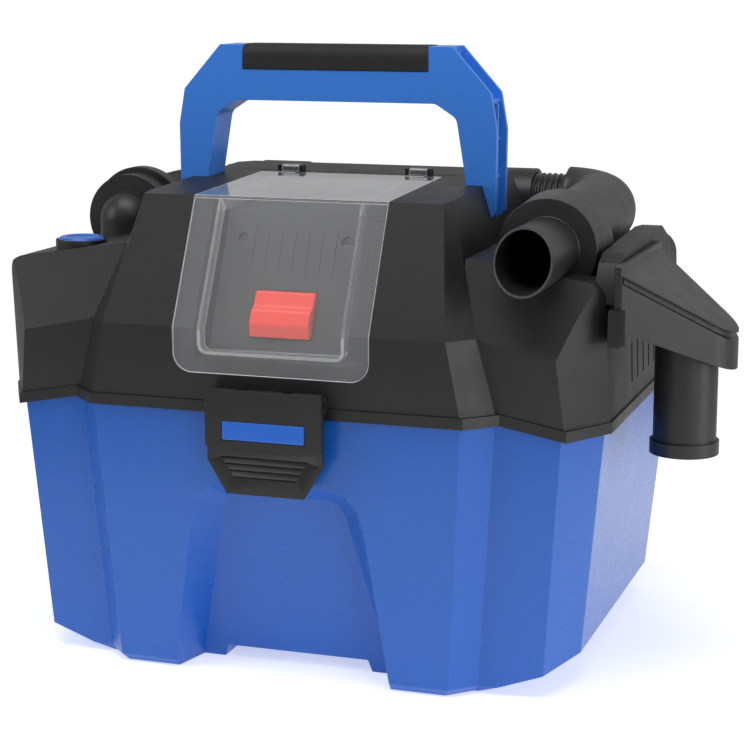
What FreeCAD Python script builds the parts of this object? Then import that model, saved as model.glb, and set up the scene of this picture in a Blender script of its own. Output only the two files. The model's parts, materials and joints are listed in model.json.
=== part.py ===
import FreeCAD, Part
import math
import os

import Sketcher

# A cordless wet and dry shop vacuum: a tapered tank, and a lid that carries the motor, the filter,
# the battery behind a clear door, the stowed hose and a stored nozzle.
# Frame: origin on the floor under the middle of the tank, X to the right, -Y to the front, Z up.
# Millimetres.

V = FreeCAD.Vector
X_AXIS = V(1, 0, 0)
Y_AXIS = V(0, 1, 0)
Z_AXIS = V(0, 0, 1)

doc = FreeCAD.newDocument("shop_vacuum")
sheet = doc.addObject("Spreadsheet::Sheet", "Sizes")

SIZES = [
    # name, millimetres (degrees where it says so), what it is
    ("skirt_half", 200.0, "half the width over the lid's skirt"),
    ("skirt_front", 156.0, "skirt's front and rear face from the middle"),
    ("bay_half", 121.6, "half the width of the front bay"),
    ("bay_back", 138.5, "set-back front face beside the bay"),
    ("corner_x", 180.0, "outer end of the set-back face"),
    ("corner_y", 103.4, "front end of the flat side"),
    ("rear_side", 126.0, "rear end of the flat side"),
    ("rear_back", 144.0, "set-back rear face"),
    ("rear_corner_x", 182.0, "outer end of the rear face"),
    ("parting_high", 172.6, "height of the tank's rim across the bays"),
    ("parting_low", 165.1, "height of the tank's rim along the sides"),
    ("parting_from", 140.0, "where the rim starts to fall"),
    ("parting_to", 180.0, "where the rim is low"),
    ("skirt_tall", 6.9, "height of the skirt"),
    ("tank_wall", 3.0, "tank's wall"),
    ("tank_edge", 5.0, "chamfer round the tank's foot"),
    ("foot_half", 124.0, "half the width of the floor contact"),
    ("foot_rise", 21.3, "how far the tank's sides rise off the floor"),
    ("recess_foot_half", 77.5, "front recess, half width at the floor"),
    ("recess_top", 135.5, "front recess, top"),
    ("panel_top", 119.0, "recessed panel, top"),
    ("notch_half", 48.0, "finger notch, half width"),
    ("notch_tall", 8.0, "finger notch, height"),
    ("shell_wall", 3.5, "lid housing's wall"),
    ("crease_z", 224.8, "crease round the lid's front"),
    ("box_top", 269.1, "side box, top at its inner end"),
    ("box_top_x", 117.2, "side box, inner end"),
    ("box_fall", 0.158, "fall of the side box's top, per millimetre outwards"),
    ("face_slope", 0.5, "set-back of the sloping faces, per millimetre up"),
    ("face_sweep", 0.087, "sweep of the side box's face, per millimetre outwards"),
    ("shelf_z", 262.0, "shelf behind the hump"),
    ("hump_half", 99.6, "hump, half width of its top"),
    ("hump_front", 118.4, "hump, front edge of its top"),
    ("hump_front_z", 301.5, "hump, height of that edge"),
    ("hump_rear", 46.0, "hump, rear edge of its top"),
    ("hump_rear_z", 308.0, "hump, height of that edge"),
    ("handle_front", 38.0, "handle, front face from the middle"),
    ("handle_deep", 28.0, "handle, depth"),
    ("handle_top", 391.5, "handle, top"),
    ("handle_half", 108.8, "handle, half width"),
    ("grip_half", 63.3, "rubber grip, half length"),
    ("grip_foot", 375.5, "rubber grip, lower edge"),
    ("door_half", 63.5, "battery door, half width"),
    ("door_foot", 197.0, "battery door, lower edge"),
    ("door_thick", 2.4, "battery door, thickness"),
    ("door_rear", 6.0, "battery door, rear edge in front of the middle"),
    ("hinge_y", 3.0, "door hinge, behind the middle"),
    ("hinge_z", 307.6, "door hinge, height"),
    ("hinge_pin_r", 1.5, "hinge and latch pins, radius"),
    ("knuckle_x", 45.0, "door hinge knuckles, from the middle"),
    ("bay_wide", 50.0, "battery bay, half width inside"),
    ("bay_floor", 206.0, "battery bay, floor"),
    ("bay_rear", 24.0, "battery bay, rear wall in front of the middle"),
    ("pack_half", 46.0, "battery pack, half width"),
    ("pack_top", 292.0, "battery pack, top"),
    ("release_half", 19.5, "battery release button, half width"),
    ("latch_half", 37.6, "latch, half width"),
    ("latch_top", 189.9, "latch, top"),
    ("latch_step", 154.3, "latch, step above its grip"),
    ("latch_foot", 124.7, "latch, lower edge"),
    ("latch_foot_half", 25.1, "latch, half width at the lower edge"),
    ("latch_proud", 12.6, "latch, how far it stands out of the skirt"),
    ("latch_pin_z", 183.0, "latch pin, height"),
    ("knob_x", 152.0, "power button, left of the middle"),
    ("knob_y", 100.0, "power button, in front of the middle"),
    ("knob_r", 15.0, "power button, radius"),
    ("knob_top", 270.0, "power button, top"),
    ("inlet_x", 155.5, "inlet elbow, left of the middle"),
    ("inlet_y", 23.0, "inlet elbow, in front of the middle"),
    ("inlet_z", 272.5, "inlet elbow's level arm, height"),
    ("inlet_r", 18.5, "inlet elbow, outer radius"),
    ("nut_front", 21.0, "front of the elbow's flange, in front of the middle"),
    ("nut_step", 4.1, "where the elbow's flange meets the nut, in front of the middle"),
    ("nut_end", 6.0, "rear end of the hose nut, behind the middle"),
    ("nut_r", 29.7, "elbow's flange, radius"),
    ("nut_wide_r", 33.5, "hose nut, radius"),
    ("inlet_bore", 16.0, "inlet elbow, bore radius"),
    ("hose_r", 19.5, "hose, outer radius"),
    ("hose_y", 82.0, "hose behind the hump, from the middle"),
    ("hose_z", 283.0, "hose behind the hump, height"),
    ("hose_end", 128.0, "where the hose enters its cuff"),
    ("cuff_x", 155.0, "hose cuff and adapter, right of the middle"),
    ("cuff_z", 273.0, "adapter's axis, height"),
    ("cuff_r", 24.0, "hose cuff, outer radius"),
    ("collar_r", 33.4, "adapter's collar, rear radius"),
    ("collar_tip_r", 31.2, "adapter's collar, front radius"),
    ("collar_front", 91.0, "adapter's collar, front face from the middle"),
    ("collar_long", 37.0, "adapter's collar, length"),
    ("pipe_r", 19.9, "adapter's pipe, outer radius"),
    ("pipe_bore", 18.1, "adapter's pipe, bore radius"),
    ("pipe_front", 150.0, "middle of the pipe's mouth, from the middle"),
    ("nozzle_x", 236.0, "nozzle's tube, right of the middle"),
    ("nozzle_y", 57.0, "nozzle's tube, in front of the middle"),
    ("nozzle_r", 19.5, "nozzle's tube, outer radius"),
    ("nozzle_bore", 16.6, "nozzle's tube, bore radius"),
    ("nozzle_foot", 146.0, "nozzle's tube, lower end"),
    ("mouth_half", 63.5, "nozzle's mouth, half width"),
    ("mouth_x", 203.0, "nozzle's mouth, right of the middle"),
    ("mouth_top", 266.5, "nozzle's top at its mouth"),
    ("mouth_low", 231.0, "nozzle's underside at its mouth"),
    ("nose_x", 238.5, "middle of the nozzle's round nose"),
    ("nose_r", 28.5, "radius of the nozzle's nose"),
    ("nose_drop", 0.66, "fall of the nozzle's top, per millimetre outwards"),
    ("nose_lift", 0.475, "fall of its underside, per millimetre outwards"),
    ("motor_y", 20.0, "motor axis, behind the middle"),
    ("motor_r", 30.0, "motor can, radius"),
    ("motor_foot", 202.5, "motor can, lower end"),
    ("motor_top", 262.5, "motor can, upper end"),
    ("shaft_r", 3.0, "motor shaft, radius"),
    ("fan_r", 46.0, "fan housing, radius"),
    ("cage_r", 40.0, "filter cage, radius"),
    ("filter_r", 57.0, "filter, radius"),
    ("filter_foot", 82.0, "filter, lower end"),
    ("float_r", 17.0, "float ball, radius"),
    ("vent_front", 36.0, "front vent slot, in front of the middle"),
    ("vent_pitch", 18.3, "vent slots, spacing"),
    ("gap", 0.4, "running clearance"),
]


class Dim:
    """A size that knows its value and the sheet expression that gives it."""

    def __init__(self, value, text):
        self.value = float(value)
        self.text = text

    def __float__(self):
        return self.value

    def __add__(self, other):
        other = dim(other)
        return Dim(self.value + other.value, "(%s + %s)" % (self.text, other.text))

    def __sub__(self, other):
        other = dim(other)
        return Dim(self.value - other.value, "(%s - %s)" % (self.text, other.text))

    def __mul__(self, other):
        other = dim(other)
        return Dim(self.value * other.value, "(%s * %s)" % (self.text, other.text))

    def __truediv__(self, other):
        other = dim(other)
        return Dim(self.value / other.value, "(%s / %s)" % (self.text, other.text))

    def __neg__(self):
        return Dim(-self.value, "(0 - %s)" % self.text)

    def __radd__(self, other):
        return dim(other) + self

    def __rsub__(self, other):
        return dim(other) - self

    def __rmul__(self, other):
        return dim(other) * self


def dim(value):
    """Take a Dim as it is, and wrap a plain number."""
    if isinstance(value, Dim):
        return value
    return Dim(value, "(%.6f)" % value)


class Sizes:
    """The sheet's cells by name, each as a Dim."""


def fill_sheet():
    sizes = Sizes()
    for row, (name, value, what) in enumerate(SIZES, start=1):
        sheet.set("A%d" % row, what)
        sheet.set("B%d" % row, "%g" % value)
        sheet.setAlias("B%d" % row, name)
        setattr(sizes, name, Dim(value, "Sizes.%s" % name))
    doc.recompute()
    return sizes


S = fill_sheet()
MADE = {}


# ---------------------------------------------------------------- building blocks

def bind(obj, prop, size):
    """Set a property and tie it to the sheet when its size comes from there."""
    size = dim(size)
    setattr(obj, prop, size.value)
    if "Sizes." in size.text:
        obj.setExpression(prop, size.text)


def put(obj, at, turn=None):
    """Place an object; a coordinate from the sheet stays tied to it."""
    at = [dim(c) for c in at]
    rotation = turn if turn is not None else FreeCAD.Rotation()
    obj.Placement = FreeCAD.Placement(V(at[0].value, at[1].value, at[2].value), rotation)
    for axis, size in zip("xyz", at):
        if "Sizes." in size.text:
            obj.setExpression("Placement.Base.%s" % axis, size.text)
    return obj


TURNS = {
    "X": FreeCAD.Rotation(Z_AXIS, X_AXIS),
    "-X": FreeCAD.Rotation(Z_AXIS, V(-1, 0, 0)),
    "Y": FreeCAD.Rotation(Z_AXIS, Y_AXIS),
    "-Y": FreeCAD.Rotation(Z_AXIS, V(0, -1, 0)),
    "Z": FreeCAD.Rotation(),
}


def box(name, low, high):
    """A box between two corners."""
    obj = doc.addObject("Part::Box", name)
    low = [dim(c) for c in low]
    high = [dim(c) for c in high]
    bind(obj, "Length", high[0] - low[0])
    bind(obj, "Width", high[1] - low[1])
    bind(obj, "Height", high[2] - low[2])
    return put(obj, low)


def cylinder(name, at, radius, length, along="Z"):
    obj = doc.addObject("Part::Cylinder", name)
    bind(obj, "Radius", radius)
    bind(obj, "Height", length)
    return put(obj, at, TURNS[along])


def cone(name, at, radius_1, radius_2, length, along="Z"):
    obj = doc.addObject("Part::Cone", name)
    bind(obj, "Radius1", radius_1)
    bind(obj, "Radius2", radius_2)
    bind(obj, "Height", length)
    return put(obj, at, TURNS[along])


def sphere(name, at, radius):
    obj = doc.addObject("Part::Sphere", name)
    bind(obj, "Radius", radius)
    return put(obj, at)


def tube(name, at, radius, bore, length, along="Z"):
    return cut(name, cylinder(name + "_outside", at, radius, length, along),
               cylinder(name + "_bore", at, bore, length, along))


def cut(name, base, *tools):
    obj = doc.addObject("Part::Cut", name)
    obj.Base = base
    obj.Tool = tools[0] if len(tools) == 1 else fuse(name + "_tools", *tools)
    return obj


def fuse(name, *parts):
    obj = doc.addObject("Part::MultiFuse", name)
    obj.Shapes = list(parts)
    return obj


def common(name, *parts):
    obj = doc.addObject("Part::MultiCommon", name)
    obj.Shapes = list(parts)
    return obj


# A sketch's own x and y run along these two row axes, and its normal is the third.
PLANES = {
    "XY": FreeCAD.Rotation(),
    "XZ": FreeCAD.Rotation(X_AXIS, 90),
    "YZ": FreeCAD.Rotation(V(1, 1, 1), 120),
}


def outline(name, plane, points, at=(0, 0, 0), turn=None):
    """A closed sketch whose corners are tied to the sheet."""
    sketch = doc.addObject("Sketcher::SketchObject", name)
    points = [(dim(a), dim(b)) for a, b in points]
    count = len(points)
    for i in range(count):
        start, end = points[i], points[(i + 1) % count]
        line = Part.LineSegment(V(start[0].value, start[1].value, 0), V(end[0].value, end[1].value, 0))
        sketch.addGeometry(line, False)
    for i in range(count):
        sketch.addConstraint(Sketcher.Constraint("Coincident", i, 2, (i + 1) % count, 1))
    for i, corner in enumerate(points):
        for kind, size in zip(("DistanceX", "DistanceY"), corner):
            index = sketch.addConstraint(Sketcher.Constraint(kind, -1, 1, i, 1, size.value))
            if "Sizes." in size.text:
                label = "%s%d" % (kind, i)
                sketch.renameConstraint(index, label)
                sketch.setExpression("Constraints.%s" % label, size.text)
    return put(sketch, at, turn or PLANES[plane])


def extrude(name, sketch, length, both=False):
    obj = doc.addObject("Part::Extrusion", name)
    obj.Base = sketch
    obj.DirMode = "Normal"
    obj.Solid = True
    bind(obj, "LengthFwd", length)
    if both:
        bind(obj, "LengthRev", length)
    return obj


def prism(name, plane, points, length, at=(0, 0, 0), both=False):
    return extrude(name, outline(name + "_outline", plane, points, at), length, both)


def loft(name, *sketches):
    obj = doc.addObject("Part::Loft", name)
    obj.Sections = list(sketches)
    obj.Solid = True
    obj.Ruled = True
    return obj


def revolve(name, points, at, along="Z"):
    """Turn an outline of (radius, height) points about an axis."""
    sketch = outline(name + "_outline", "XZ", points)
    obj = doc.addObject("Part::Revolution", name)
    obj.Source = sketch
    obj.Axis = Z_AXIS
    obj.Angle = 360
    obj.Solid = True
    return put(obj, at, TURNS[along])


def round_edges(name, base, radius, chosen):
    """Fillet the edges of base that chosen(edge) picks."""
    doc.recompute()
    numbers = [i for i, edge in enumerate(base.Shape.Edges, start=1) if chosen(edge)]
    obj = doc.addObject("Part::Fillet", name)
    obj.Base = base
    obj.Edges = [(i, float(radius), float(radius)) for i in numbers]
    return obj


def mirror(name, base, normal):
    obj = doc.addObject("Part::Mirroring", name)
    obj.Source = base
    obj.Base = V(0, 0, 0)
    obj.Normal = normal
    return obj


def ends(edge):
    return edge.Vertexes[0].Point, edge.Vertexes[-1].Point


def near(a, b, slack=0.6):
    return abs(a - b) < slack


def node(label, obj):
    """Name a finished sub-part; its label is its file's name."""
    obj.Label = label
    MADE[label] = obj
    return obj


def solid(name, shape):
    """A shape that no parametric feature makes, such as a swept bend."""
    obj = doc.addObject("Part::Feature", name)
    obj.Shape = shape
    obj.Placement = FreeCAD.Placement()
    return obj


def mirrored(half):
    """Close an outline given for the right half, front to rear."""
    left = [(-dim(x), y) for x, y in reversed(half)]
    return list(half) + left


# ---------------------------------------------------------------- outlines shared by tank and lid

def ring(bay, bay_y, back_y, corner_x, side_x, side_y, rear_y, rear_corner, rear_back, rear_bay):
    """The notched outline: a bay in front and behind, and cut corners."""
    step = dim(bay_y) - back_y
    return mirrored([
        (bay, -dim(bay_y)),
        (dim(bay) + step, -dim(back_y)),
        (corner_x, -dim(back_y)),
        (side_x, -dim(side_y)),
        (side_x, rear_y),
        (rear_corner, rear_back),
        (dim(rear_bay) + step, rear_back),
        (rear_bay, bay_y),
    ])


def skirt_ring(inset=0.0):
    return ring(S.bay_half - inset * 0.4, S.skirt_front - inset, S.bay_back - inset,
                S.corner_x - inset * 0.6, S.skirt_half - inset, S.corner_y - inset * 0.3,
                S.rear_side - inset * 0.4, S.rear_corner_x - inset * 0.4, S.rear_back - inset,
                S.bay_half - inset * 0.4)


def tank_ring(shrink, inset):
    """The tank's outline; shrink is the taper from the skirt, inset the wall."""
    part = dim(shrink)
    return ring(S.bay_half - part * 0.58 - inset * 0.4, S.skirt_front - part * 0.7 - inset,
                S.bay_back - part * 0.56 - inset, S.corner_x - part * 0.74 - inset * 0.6,
                S.skirt_half - part - inset, S.corner_y - part * 0.58 - inset * 0.3,
                S.rear_side - part * 0.58 - inset * 0.4, S.rear_corner_x - part * 0.9 - inset * 0.4,
                S.rear_back - part * 0.58 - inset, S.bay_half - part * 0.58 - inset * 0.4)


RIM_SHRINK = 3.8
FOOT_SHRINK = 20.6
RIM_Z = 178.0


def parting_prism(name, lift, top):
    """All that lies above the rim's stepped surface, raised by lift."""
    reach = S.skirt_half + 40
    high = S.parting_high + lift
    low = S.parting_low + lift
    points = [(-reach, low), (-S.parting_to, low), (-S.parting_from, high),
              (S.parting_from, high), (S.parting_to, low), (reach, low), (reach, top), (-reach, top)]
    return prism(name, "XZ", points, S.skirt_front + 40, both=True)


def slanted_foot(name, lift):
    """The wedges below the tank's raised sides."""
    far = S.skirt_half + 20
    rise = S.foot_rise * (far - S.foot_half) / (S.skirt_half - 18.5 - S.foot_half)
    points = [(S.foot_half, lift - 40), (S.foot_half, lift), (far, rise + lift), (far, lift - 40)]
    right = prism(name + "_right", "XZ", points, S.skirt_front + 40, both=True)
    return fuse(name, right, mirror(name + "_left", right, X_AXIS))


# ---------------------------------------------------------------- tank

def recess(name, grow):
    """The front recess, narrowing upwards, with a panel that leans back towards the floor."""
    mouth_y = S.skirt_front + 6
    wide = dim(grow)
    outer = [(S.recess_foot_half + wide, -4), (S.recess_foot_half - 9.5 + wide, 106),
             (S.recess_foot_half - 15 + wide, 122 + wide * 0.5), (52 + wide * 0.7, 133 + wide),
             (38, S.recess_top + wide)]
    inner = [(66 + wide, -4), (43 + wide, 97), (41 + wide, 108 + wide * 0.5),
             (36.5 + wide * 0.7, S.panel_top - 3 + wide), (30, S.panel_top + wide)]
    # the mouth stands ahead of the wall, so its outline is spread to meet the wall where it should
    lean = math.degrees(math.atan2(24.0, S.panel_top.value))
    front = outline(name + "_mouth", "XZ", mirrored(outer), (0, -mouth_y, 0))
    back_turn = FreeCAD.Rotation(X_AXIS, 90 + lean)
    back = outline(name + "_panel", "XZ", mirrored(inner), (0, -(S.skirt_front - 45) + wide, 0), back_turn)
    return loft(name, front, back)


def make_tank():
    wall = S.tank_wall
    outside = loft("tank_outside",
                   outline("tank_foot", "XY", tank_ring(FOOT_SHRINK + 3, 2.0)),
                   outline("tank_edge_ring", "XY", tank_ring(FOOT_SHRINK - 0.5, 0), (0, 0, S.tank_edge)),
                   outline("tank_rim", "XY", tank_ring(RIM_SHRINK, 0), (0, 0, RIM_Z)))
    hollow = loft("tank_hollow",
                  outline("tank_hollow_foot", "XY", tank_ring(FOOT_SHRINK - 0.5, wall), (0, 0, wall)),
                  outline("tank_hollow_rim", "XY", tank_ring(RIM_SHRINK, wall), (0, 0, RIM_Z + 10)))
    notch = prism("notch", "XZ", mirrored([(S.notch_half + 3, -2), (S.notch_half, S.notch_tall)]),
                  60, (0, -(S.skirt_front - 86), 0))
    notch_over = prism("notch_over", "XZ",
                       mirrored([(S.notch_half + 6, -2), (S.notch_half + 3, S.notch_tall + 3)]),
                       70, (0, -(S.skirt_front - 89), 0))
    space = cut("tank_space", hollow, recess("recess_over", 3.0), notch_over, slanted_foot("foot_over", 3.0))
    body = cut("tank_body", outside, recess("recess_tool", 0), notch, slanted_foot("foot_wedge", 0),
               parting_prism("above_rim", 0, 240), space)
    catches = []
    for side, sign in (("front", -1), ("rear", 1)):
        y_in = S.skirt_front - 6.5
        y_out = S.skirt_front - 0.9
        low, high = (-y_out, -y_in) if sign < 0 else (y_in, y_out)
        catches.append(box("catch_" + side, (-24, low, 150), (24, high, 154)))
    return node("tank", fuse("tank_whole", body, *catches))


# ---------------------------------------------------------------- lid

SCREW_SPOTS = ((124.0, -118.0), (-124.0, -118.0), (124.0, 112.0), (-124.0, 112.0))
SCREW_R = 2.0


def screw_bores(name):
    return [cylinder("%s_%d" % (name, i), (x, y, 160), SCREW_R, 40) for i, (x, y) in enumerate(SCREW_SPOTS)]


def make_screws():
    """The screws that hold the upper housing to the pan, heads below."""
    parts = []
    for i, (x, y) in enumerate(SCREW_SPOTS):
        parts.append(cylinder("screw_head_%d" % i, (x, y, S.parting_high - 2.4), 4.0, 2.4))
        parts.append(cylinder("screw_shank_%d" % i, (x, y, S.parting_high - 1), SCREW_R, 24))
    node("housing_screws", fuse("screws", *parts))


def gasket_band(name, low, high):
    """The seal's strip, over the tank's rim."""
    middle = RIM_SHRINK + S.tank_wall * 0.5
    outer = prism(name + "_out", "XY", tank_ring(middle - 2.0, 0), 40, (0, 0, 150))
    inner = prism(name + "_in", "XY", tank_ring(middle + 2.0, 0), 40, (0, 0, 150))
    band = cut(name + "_band", outer, inner)
    layer = cut(name + "_layer", parting_prism(name + "_low", low, 230),
                parting_prism(name + "_high", high, 240))
    return common(name, band, layer)


def make_pan():
    """The lid's lower pan with its skirt, the seal's groove and the latch lugs."""
    plate = prism("pan_plate", "XY", skirt_ring(), 40, (0, 0, 150))
    layer = cut("pan_layer", parting_prism("pan_low", 0, 230), parting_prism("pan_high", S.skirt_tall, 240))
    slab = common("pan_slab", plate, layer)
    port = cylinder("pan_port", (0, S.motor_y, 150), S.cage_r - 6, 60)
    duct = cylinder("pan_duct_hole", (-S.inlet_x, -S.inlet_y, 140), S.inlet_r, 60)
    bores = [port, duct, gasket_band("pan_groove", 0, 2.0), *screw_bores("pan_bore")]
    lugs = []
    for sign in (-1, 1):
        for x in (-15.0, 15.0):
            name = "lug_%d_%d" % (sign + 1, x + 15)
            y_in = S.skirt_front - 0.6
            y_out = S.skirt_front + 9.2
            low, high = (-y_out, -y_in) if sign < 0 else (y_in, y_out)
            lugs.append(box(name, (x - 3, low, S.parting_high + 1), (x + 3, high, S.latch_pin_z + 3)))
        y_pin = (S.skirt_front + 6.0) * sign
        bores.append(cylinder("lug_bore_%d" % (sign + 1), (-30, y_pin, S.latch_pin_z),
                              S.hinge_pin_r, 60, "X"))
    node("lid_pan", cut("pan_whole", fuse("pan_with_lugs", slab, *lugs), *bores))
    node("lid_gasket", gasket_band("gasket", 0, 2.0))


HUMP_EDGE = 112.0


def housing_solid(name, inset):
    """The lid's upper housing as a solid, drawn in by inset."""
    d = dim(inset)
    low_z, high_z = 160.0, 280.0

    def lower_ring(z):
        up = z - 172.0
        half = [
            (S.bay_half - 0.6 - up * 0.196 - d * 0.4, -(S.skirt_front - 1.3 + up * 0.04 - d)),
            (S.bay_half + 17.0 - up * 0.262 - d * 0.4, -(S.bay_back - 1.0 + up * 0.045 - d)),
            (S.corner_x - 1.7 - up * 0.115 - d * 0.6, -(S.bay_back - 1.0 + up * 0.075 - d)),
            (S.skirt_half - 1.2 - up * 0.034 - d, -(S.corner_y + up * 0.13 - d * 0.3)),
            (S.skirt_half - 1.2 - up * 0.034 - d, S.rear_side - 1 - up * 0.02 - d * 0.4),
            (S.rear_corner_x - 1.5 - up * 0.05 - d * 0.4, S.rear_back - 1.3 - up * 0.03 - d),
            (S.bay_half + 17.0 - up * 0.2 - d * 0.4, S.rear_back - 1.3 - up * 0.03 - d),
            (S.bay_half - 0.6 - up * 0.196 - d * 0.4, S.skirt_front - 1.3 - up * 0.03 - d),
        ]
        return mirrored(half)

    lower = loft(name + "_lower",
                 outline(name + "_low_ring", "XY", lower_ring(low_z), (0, 0, low_z)),
                 outline(name + "_high_ring", "XY", lower_ring(high_z), (0, 0, high_z)))
    # the side boxes' falling tops
    top_in = S.box_top - d
    fall_end = top_in - S.box_fall * (260 - S.box_top_x)
    roof = prism(name + "_roof", "XZ",
                 [(S.box_top_x, top_in), (260, fall_end), (260, 340), (-260, 340), (-260, fall_end),
                  (-S.box_top_x, top_in)], 220, both=True)
    # the shelf behind the hump and the slope behind it
    shelf = prism(name + "_shelf", "YZ",
                  [(S.hose_y - 27 + d * 0.2, 340), (S.hose_y - 27 + d * 0.2, S.shelf_z - d),
                   (S.hose_y + 27 - d * 0.6, S.shelf_z - d), (S.skirt_front - d, S.crease_z - 4),
                   (240, S.crease_z - 60), (240, 340)], S.box_top_x + 60, (0, 0, 0), both=True)
    # the sloping front: the bay between the creases, then the swept face of each side box
    front_y = -(S.skirt_front + 0.6 - d * 1.118)
    bay_face = prism(name + "_bay_face", "YZ",
                     [(front_y, S.crease_z), (front_y + S.face_slope * 110, S.crease_z + 110),
                      (front_y + S.face_slope * 110, 350), (-260, 350), (-260, S.crease_z)], 150, both=True)
    face_turn = FreeCAD.Rotation(V(0, 0, 1), math.degrees(math.atan(S.face_sweep.value)))
    faces = []
    start_y = -(S.skirt_front - 16.2 - d * 1.118)
    face_points = [(-S.face_slope * 40, -40), (S.face_slope * 110, 110), (-90, 110), (-90, -40)]
    for label, sign in (("right", 1), ("left", -1)):
        turn = FreeCAD.Rotation(V(0, 0, 1), sign * face_turn.Angle * 180 / math.pi)
        sketch = outline("%s_face_%s_outline" % (name, label), "YZ", face_points,
                         (127.5 * sign, start_y, S.crease_z - 1.0), turn.multiply(PLANES["YZ"]))
        body = extrude("%s_face_%s_long" % (name, label), sketch, 110, both=True)
        keeps = []
        bands = (("above", HUMP_EDGE, S.crease_z, 350), ("below", 127.5, 180, S.crease_z))
        for part, x_in, low, high in bands:
            x_low, x_high = (x_in, 240) if sign > 0 else (-240, -x_in)
            keeps.append(box("%s_face_%s_%s" % (name, label, part), (x_low, -260, low), (x_high, 0, high)))
        keep = fuse("%s_face_%s_keep" % (name, label), *keeps)
        faces.append(common("%s_face_%s" % (name, label), body, keep))
    under_hump = box(name + "_under_hump", (-HUMP_EDGE, -260, S.crease_z), (HUMP_EDGE, -60, 350))
    lower_cut = cut(name + "_lower_cut", lower, roof, shelf, bay_face, under_hump, *faces)
    top_rise = (S.hump_rear_z - S.hump_front_z) / (S.hump_rear + S.hump_front)
    hump_top = 318.0
    up = hump_top - S.crease_z

    def hump_ring(x_front, x_side, y_front, y_side, y_rear):
        return mirrored([(x_front, y_front), (x_side, y_side), (x_side, y_rear - 9), (x_side - 9, y_rear)])

    hump_x, side_x = S.bay_half - 10.9 - d * 0.4, dim(124.8) - d * 1.05
    side_y, rear_y = -(S.skirt_front - 16.4 - d * 0.6), S.hump_rear + 21.6 - d
    hump_low = hump_ring(hump_x, side_x, front_y, side_y, rear_y)
    hump_high = hump_ring(hump_x - up * 0.166, side_x - up * 0.318, front_y + up * S.face_slope,
                          side_y + up * 0.452, rear_y - up * 0.26)
    hump = loft(name + "_hump", outline(name + "_hump_low", "XY", hump_low, (0, 0, S.crease_z)),
                outline(name + "_hump_high", "XY", hump_high, (0, 0, hump_top)))
    front_z = S.hump_front_z - d
    crown = prism(name + "_crown", "YZ",
                  [(-S.hump_front - 100, front_z - top_rise * 100),
                   (120, front_z + top_rise * (S.hump_front + 120)),
                   (120, 360), (-S.hump_front - 100, 360)], 220, both=True)
    hump_cut = cut(name + "_hump_cut", hump, crown)
    return lower_cut, hump_cut


def round_housing(name, base, radius):
    """Soften each side box's shoulder."""
    def shoulder(edge):
        a, b = ends(edge)
        level = abs(a.z - b.z) < 6 and abs(a.y - b.y) > 100
        return level and min(abs(a.x), abs(b.x)) > 190 and min(a.z, b.z) > 230
    return round_edges(name, base, radius, shoulder)


SHOULDER_R = 13.0
PIPE_MOUTH = V(-0.347, -0.861, 0.369)


def swept_tube(points, radii, radius):
    """A round bar along straight runs joined by tangent arcs, and the length of its path."""
    edges = []
    last = points[0]
    for i in range(1, len(points) - 1):
        corner = points[i]
        before = (points[i - 1] - corner).normalize()
        after = (points[i + 1] - corner).normalize()
        turn = math.pi - before.getAngle(after)
        reach = radii[i - 1] * math.tan(turn / 2)
        start = corner + before * reach
        stop = corner + after * reach
        inward = (before + after).normalize()
        middle = corner + inward * (radii[i - 1] / math.cos(turn / 2) - radii[i - 1])
        edges.append(Part.LineSegment(last, start).toShape())
        edges.append(Part.Arc(start, middle, stop).toShape())
        last = stop
    edges.append(Part.LineSegment(last, points[-1]).toShape())
    path = Part.Wire(edges)
    section = Part.Wire([Part.Circle(points[0], points[1] - points[0], radius).toShape()])
    return path.makePipeShell([section], True, True), path.Length


def hose_points():
    """The hose's route: back out of the nut, across behind the hump."""
    x = -float(S.inlet_x)
    y = float(S.hose_y)
    z = float(S.hose_z)
    return [V(x, float(S.nut_end) - CUFF_SPARE, float(S.inlet_z)), V(x, y, z), V(float(S.hose_end), y, z)]


def cuff_points():
    x = float(S.cuff_x)
    y = float(S.hose_y)
    return [V(float(S.hose_end), y, float(S.hose_z)), V(x, y, float(S.hose_z) - 1),
            V(x, -float(S.collar_front) + float(S.collar_long) - CUFF_SPARE, float(S.cuff_z))]


HOSE_BEND = 52.0
CUFF_BEND = 26.0
CUFF_SPARE = 6.0


def make_hose():
    swept, length = swept_tube(hose_points(), [HOSE_BEND], float(S.hose_r))
    print("hose path %.1f mm, bend radius %.0f mm" % (length, HOSE_BEND))
    straight = math.pi * float(S.hose_r) ** 2 * length
    print("hose volume over section times length: %.4f" % (swept.Volume / straight))
    before = box("hose_trim", (-S.inlet_x - 40, S.nut_end - 30, 230), (-S.inlet_x + 40, S.nut_end, 320))
    node("hose", cut("hose_whole", solid("hose_body", swept), before))
    outside, _ = swept_tube(cuff_points(), [CUFF_BEND], float(S.cuff_r))
    inside, _ = swept_tube(cuff_points(), [CUFF_BEND], float(S.pipe_bore))
    end_y = -S.collar_front + S.collar_long
    beyond = box("cuff_trim", (100, end_y - 40, 200), (210, end_y, 340))
    hose_side = box("cuff_start_trim", (S.hose_end - 10, S.hose_y - 40, 230),
                    (S.hose_end, S.hose_y + 40, 330))
    node("hose_cuff", cut("hose_cuff_whole", solid("hose_cuff_body", outside.cut(inside)), beyond, hose_side))


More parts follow.
